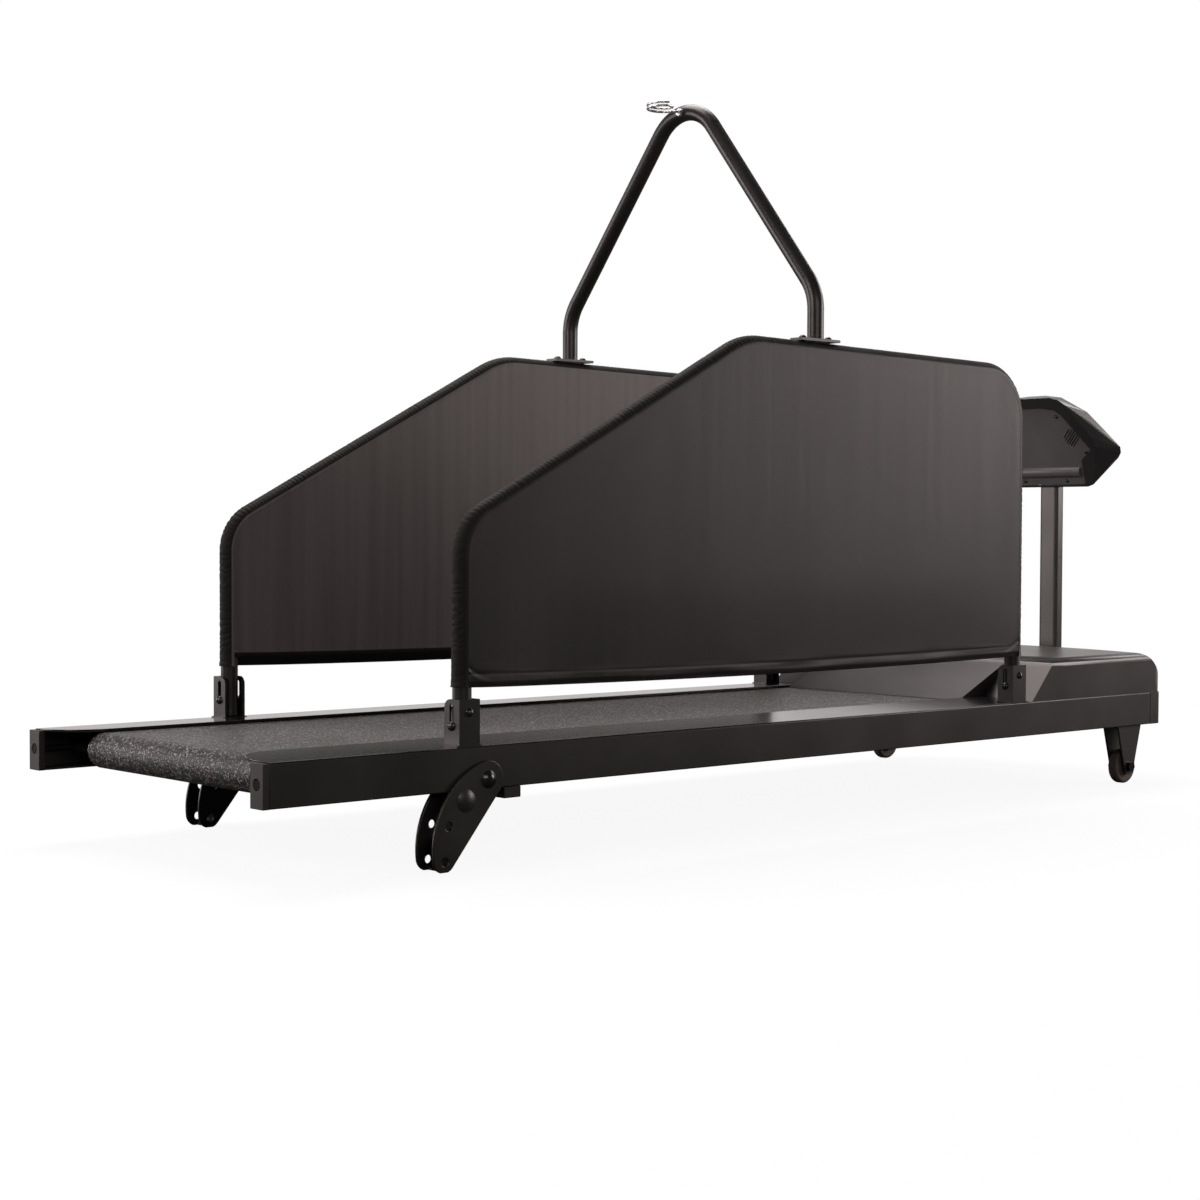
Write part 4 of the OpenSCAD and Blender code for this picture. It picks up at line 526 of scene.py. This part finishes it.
def sleeve(seed):
    edge = tube_path(sleeve_step, with_legs=True)
    whole_run = sum((b - a).length for a, b in zip(edge, edge[1:]))
    run, wave, rings = 0.0, 0.0, []
    for i, spot in enumerate(edge):
        ahead = (edge[min(i + 1, len(edge) - 1)] - edge[max(i - 1, 0)]).normalized()
        outward = Vector((-ahead.y, ahead.x))
        step = (spot - edge[i - 1]).length if i else 0.0
        run += step
        on_bend = smooth(abs(ahead.x) / 0.6)
        wave += step / (gather_on_leg + (gather_on_bend - gather_on_leg) * on_bend)
        sway = 0.9 * noise.noise((run * 55.0, seed, 0.0))
        depth = gather_deep * (0.75 + 0.9 * noise.noise((run * 16.0, seed, 5.0)))
        cuff = cuff_deep * (math.exp(-run / cuff_run) + math.exp(-(whole_run - run) / cuff_run))
        ring = []
        for m in range(sleeve_rounds + 1):
            turn = math.pi * m / sleeve_rounds
            lean = (0.3 + 0.5 * (1.0 - on_bend)) * noise.noise((turn * 1.7, run * 30.0, seed))
            pinch = abs(math.sin(math.pi * (wave + sway + lean))) ** 0.55 - 0.75
            gather = depth * pinch * smooth((math.sin(turn) - 0.2) / 0.3)
            off = cloth_off_tube + sleeve_proud + gather + cuff
            place = spot + outward * off * math.sin(turn)
            ring.append((place.x, off * math.cos(turn), place.y))
        rings.append(ring)
    return rings


def guard_cover(side):
    sign = -1.0 if side == "right" else 1.0
    seed = cover_seeds[side]
    cloths = [nylon_outside, nylon_inside_painted_light, gathered_edge_painted_shade]
    verts, faces, face_cloths = [], [], []

    def stitch(rows, flip, cloth_at):
        first = len(verts)
        width = len(rows[0])
        for row in rows:
            verts.extend((x, sign * (tube_y + y), z) for x, y, z in row)
        for r in range(len(rows) - 1):
            for c in range(width - 1):
                corner = first + r * width + c
                quad = (corner, corner + 1, corner + width + 1, corner + width)
                faces.append(quad[::-1] if flip else quad)
                face_cloths.append(cloths.index(cloth_at(c)))

    # The inside's lowest rows, where the hem turns under, get the darker copy of the nylon as painted shade.
    def inside_cloth(row):
        return gathered_edge_painted_shade if row < painted_shade_rows else nylon_inside_painted_light

    # The sleeve's puckered middle gets the darker copy of the nylon as painted shade, and its plain ends
    # match the panels.
    def sleeve_cloth(segment):
        if plain_rounds <= segment < sleeve_rounds - plain_rounds:
            return gathered_edge_painted_shade
        return nylon_outside if segment < plain_rounds else nylon_inside_painted_light

    stitch(panel(outer, seed), sign > 0, lambda row: nylon_outside)
    stitch(panel(inner, seed), sign < 0, inside_cloth)
    stitch(sleeve(seed), sign > 0, sleeve_cloth)
    mesh = bpy.data.meshes.new(side + "_cover")
    mesh.from_pydata(verts, [], faces)
    for cloth in cloths:
        mesh.materials.append(cloth)
    for polygon, cloth_number in zip(mesh.polygons, face_cloths):
        polygon.material_index = cloth_number
    mesh.update()
    mesh.shade_smooth()
    cover = bpy.data.objects.new(side + "_cover", mesh)
    bpy.context.scene.collection.objects.link(cover)
    return cover


# One nylon in two colours: the outer face has its own near-black, and the inner face a much paler copy,
# painted light for the light that falls between the panels.
nylon_outside = woven_nylon("nylon_outside", depth=0.006, sheen=0.02)
nylon_inside_painted_light = woven_nylon("nylon_inside_painted_light", depth=0.08, sheen=1.0)
# A darker copy of the same nylon is painted shade, for the shade in the sleeve's puckers and under the
# inside's turned hem.
gathered_edge_painted_shade = grained("gathered_edge_painted_shade", (0.007, 0.0062, 0.0062), rough=0.68, grain_mm=0.7, deep_mm=0.1,
                        mottle=0.2, shine=0.22)
for side in ("right", "left"):
    cover = guard_cover(side)
    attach(cover, "guards")
    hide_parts(side + "_guard_cover")

# The leash hook: chromed spring wire, screwed into the arch's crown with a nut.
# A leash's loop is slipped round its spiral and can't jump out.
chrome = grained("bright_chrome", (0.8, 0.8, 0.81), rough=0.3, grain_mm=3.0, deep_mm=0.0005,
                 rough_spread=0.03, mottle=0.05, metal=1.0)
leash_point = next(m for m in frame["record"]["mounts"] if m["name"] == "leash_point")
hook_x = leash_point["pos_m"][0]
hook_low, hook_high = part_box("leash_hook")
wire_d, loop_r, hook_pitch, hook_turns, bend_r = 0.004, 0.020, 0.0055, 1.75, 0.007
bend_steps, loop_steps = 6, 40
stem_start = hook_high.x
bend_x = hook_x + loop_r + bend_r
wire_z = hook_low.z + wire_d / 2
route = [Vector((x, 0, wire_z)) for x in (stem_start, (stem_start + bend_x) / 2, bend_x)]
for k in range(1, bend_steps + 1):
    turn = math.pi / 2 * k / bend_steps
    route.append(Vector((bend_x - bend_r * math.sin(turn), bend_r * (1 - math.cos(turn)), wire_z)))
for k in range(1, int(hook_turns * loop_steps) + 1):
    turn = 2 * math.pi * k / loop_steps
    climb = hook_pitch * k / loop_steps
    route.append(Vector((hook_x + loop_r * math.cos(turn), bend_r + loop_r * math.sin(turn), wire_z + climb)))
hook_curve = bpy.data.curves.new("leash_hook_wire", "CURVE")
hook_curve.dimensions = "3D"
hook_curve.bevel_depth = wire_d / 2
hook_curve.bevel_resolution = 5
hook_curve.use_fill_caps = True
spline = hook_curve.splines.new("POLY")
spline.points.add(len(route) - 1)
for point, place in zip(spline.points, route):
    point.co = (*place, 1.0)
hook_curve.materials.append(chrome)
hook = bpy.data.objects.new("leash_hook_wire", hook_curve)
bpy.context.scene.collection.objects.link(hook)
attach(hook, "guards")
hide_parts("leash_hook")
dress(chrome, "hook_nut")

# The console post: a steel box tube with rounded corners, bolted to the front of the bumper.
# Its powder coat is smoother than the frame's, and its colour is painted paler as painted light for the
# dimmer light at the front.
post_coat_painted_light = grained("post_powder_coat_painted_light", (0.036, 0.033, 0.032), rough=0.3, grain_mm=1.1, deep_mm=0.03,
                    mottle=0.15)
ease(post_coat_painted_light, "console_post", round_mm=6.0, steps=5, least_mm=200.0)
dress(black_oxide, "post_bolts")

# The console: a flared plastic shell on the post's leaning head, with a recessed back panel.
# The shell is semi-gloss and the back panel a dull charcoal, with the speaker grilles moulded in.
console_gloss = grained("console_gloss", (0.024, 0.0225, 0.0228), rough=0.28, grain_mm=0.9, deep_mm=0.003,
                        mottle=0.12)
console_charcoal = grained("console_charcoal", (0.115, 0.106, 0.107), rough=0.36, grain_mm=0.8, deep_mm=0.03,
                           mottle=0.15)
ease(console_gloss, "console_housing", round_mm=5.0, sharp_deg=14.0, steps=4, least_mm=12.0)
ease(console_charcoal, "console_back", round_mm=0.6)
dress(black_oxide, "console_screws")
dress(plain_rubber, "speakers")

# The console's works: a circuit board inside, a smoked window over the display and four push buttons.
# The buttons are moulded in green, red and grey plastic and sit in a row below the window.
board_green = grained("board_green", (0.02, 0.12, 0.05), rough=0.4, grain_mm=1.0, deep_mm=0.01)
dress(board_green, "console_board")
window_smoke = grained("smoked_window", (0.006, 0.008, 0.009), rough=0.06, grain_mm=4.0, deep_mm=0.002,
                       rough_spread=0.02, mottle=0.05, coat=0.5)
ease(window_smoke, "display_window", round_mm=0.5)
start_green, stop_red, speed_grey = (0.03, 0.22, 0.08), (0.32, 0.025, 0.02), (0.42, 0.42, 0.43)
button_paints = {"button_start": start_green, "button_stop": stop_red,
                 "button_faster": speed_grey, "button_slower": speed_grey}
for button, colour in button_paints.items():
    button_plastic = grained(button + "_plastic", colour, rough=0.4, grain_mm=0.7, deep_mm=0.03, mottle=0.08)
    ease(button_plastic, button, round_mm=0.7)
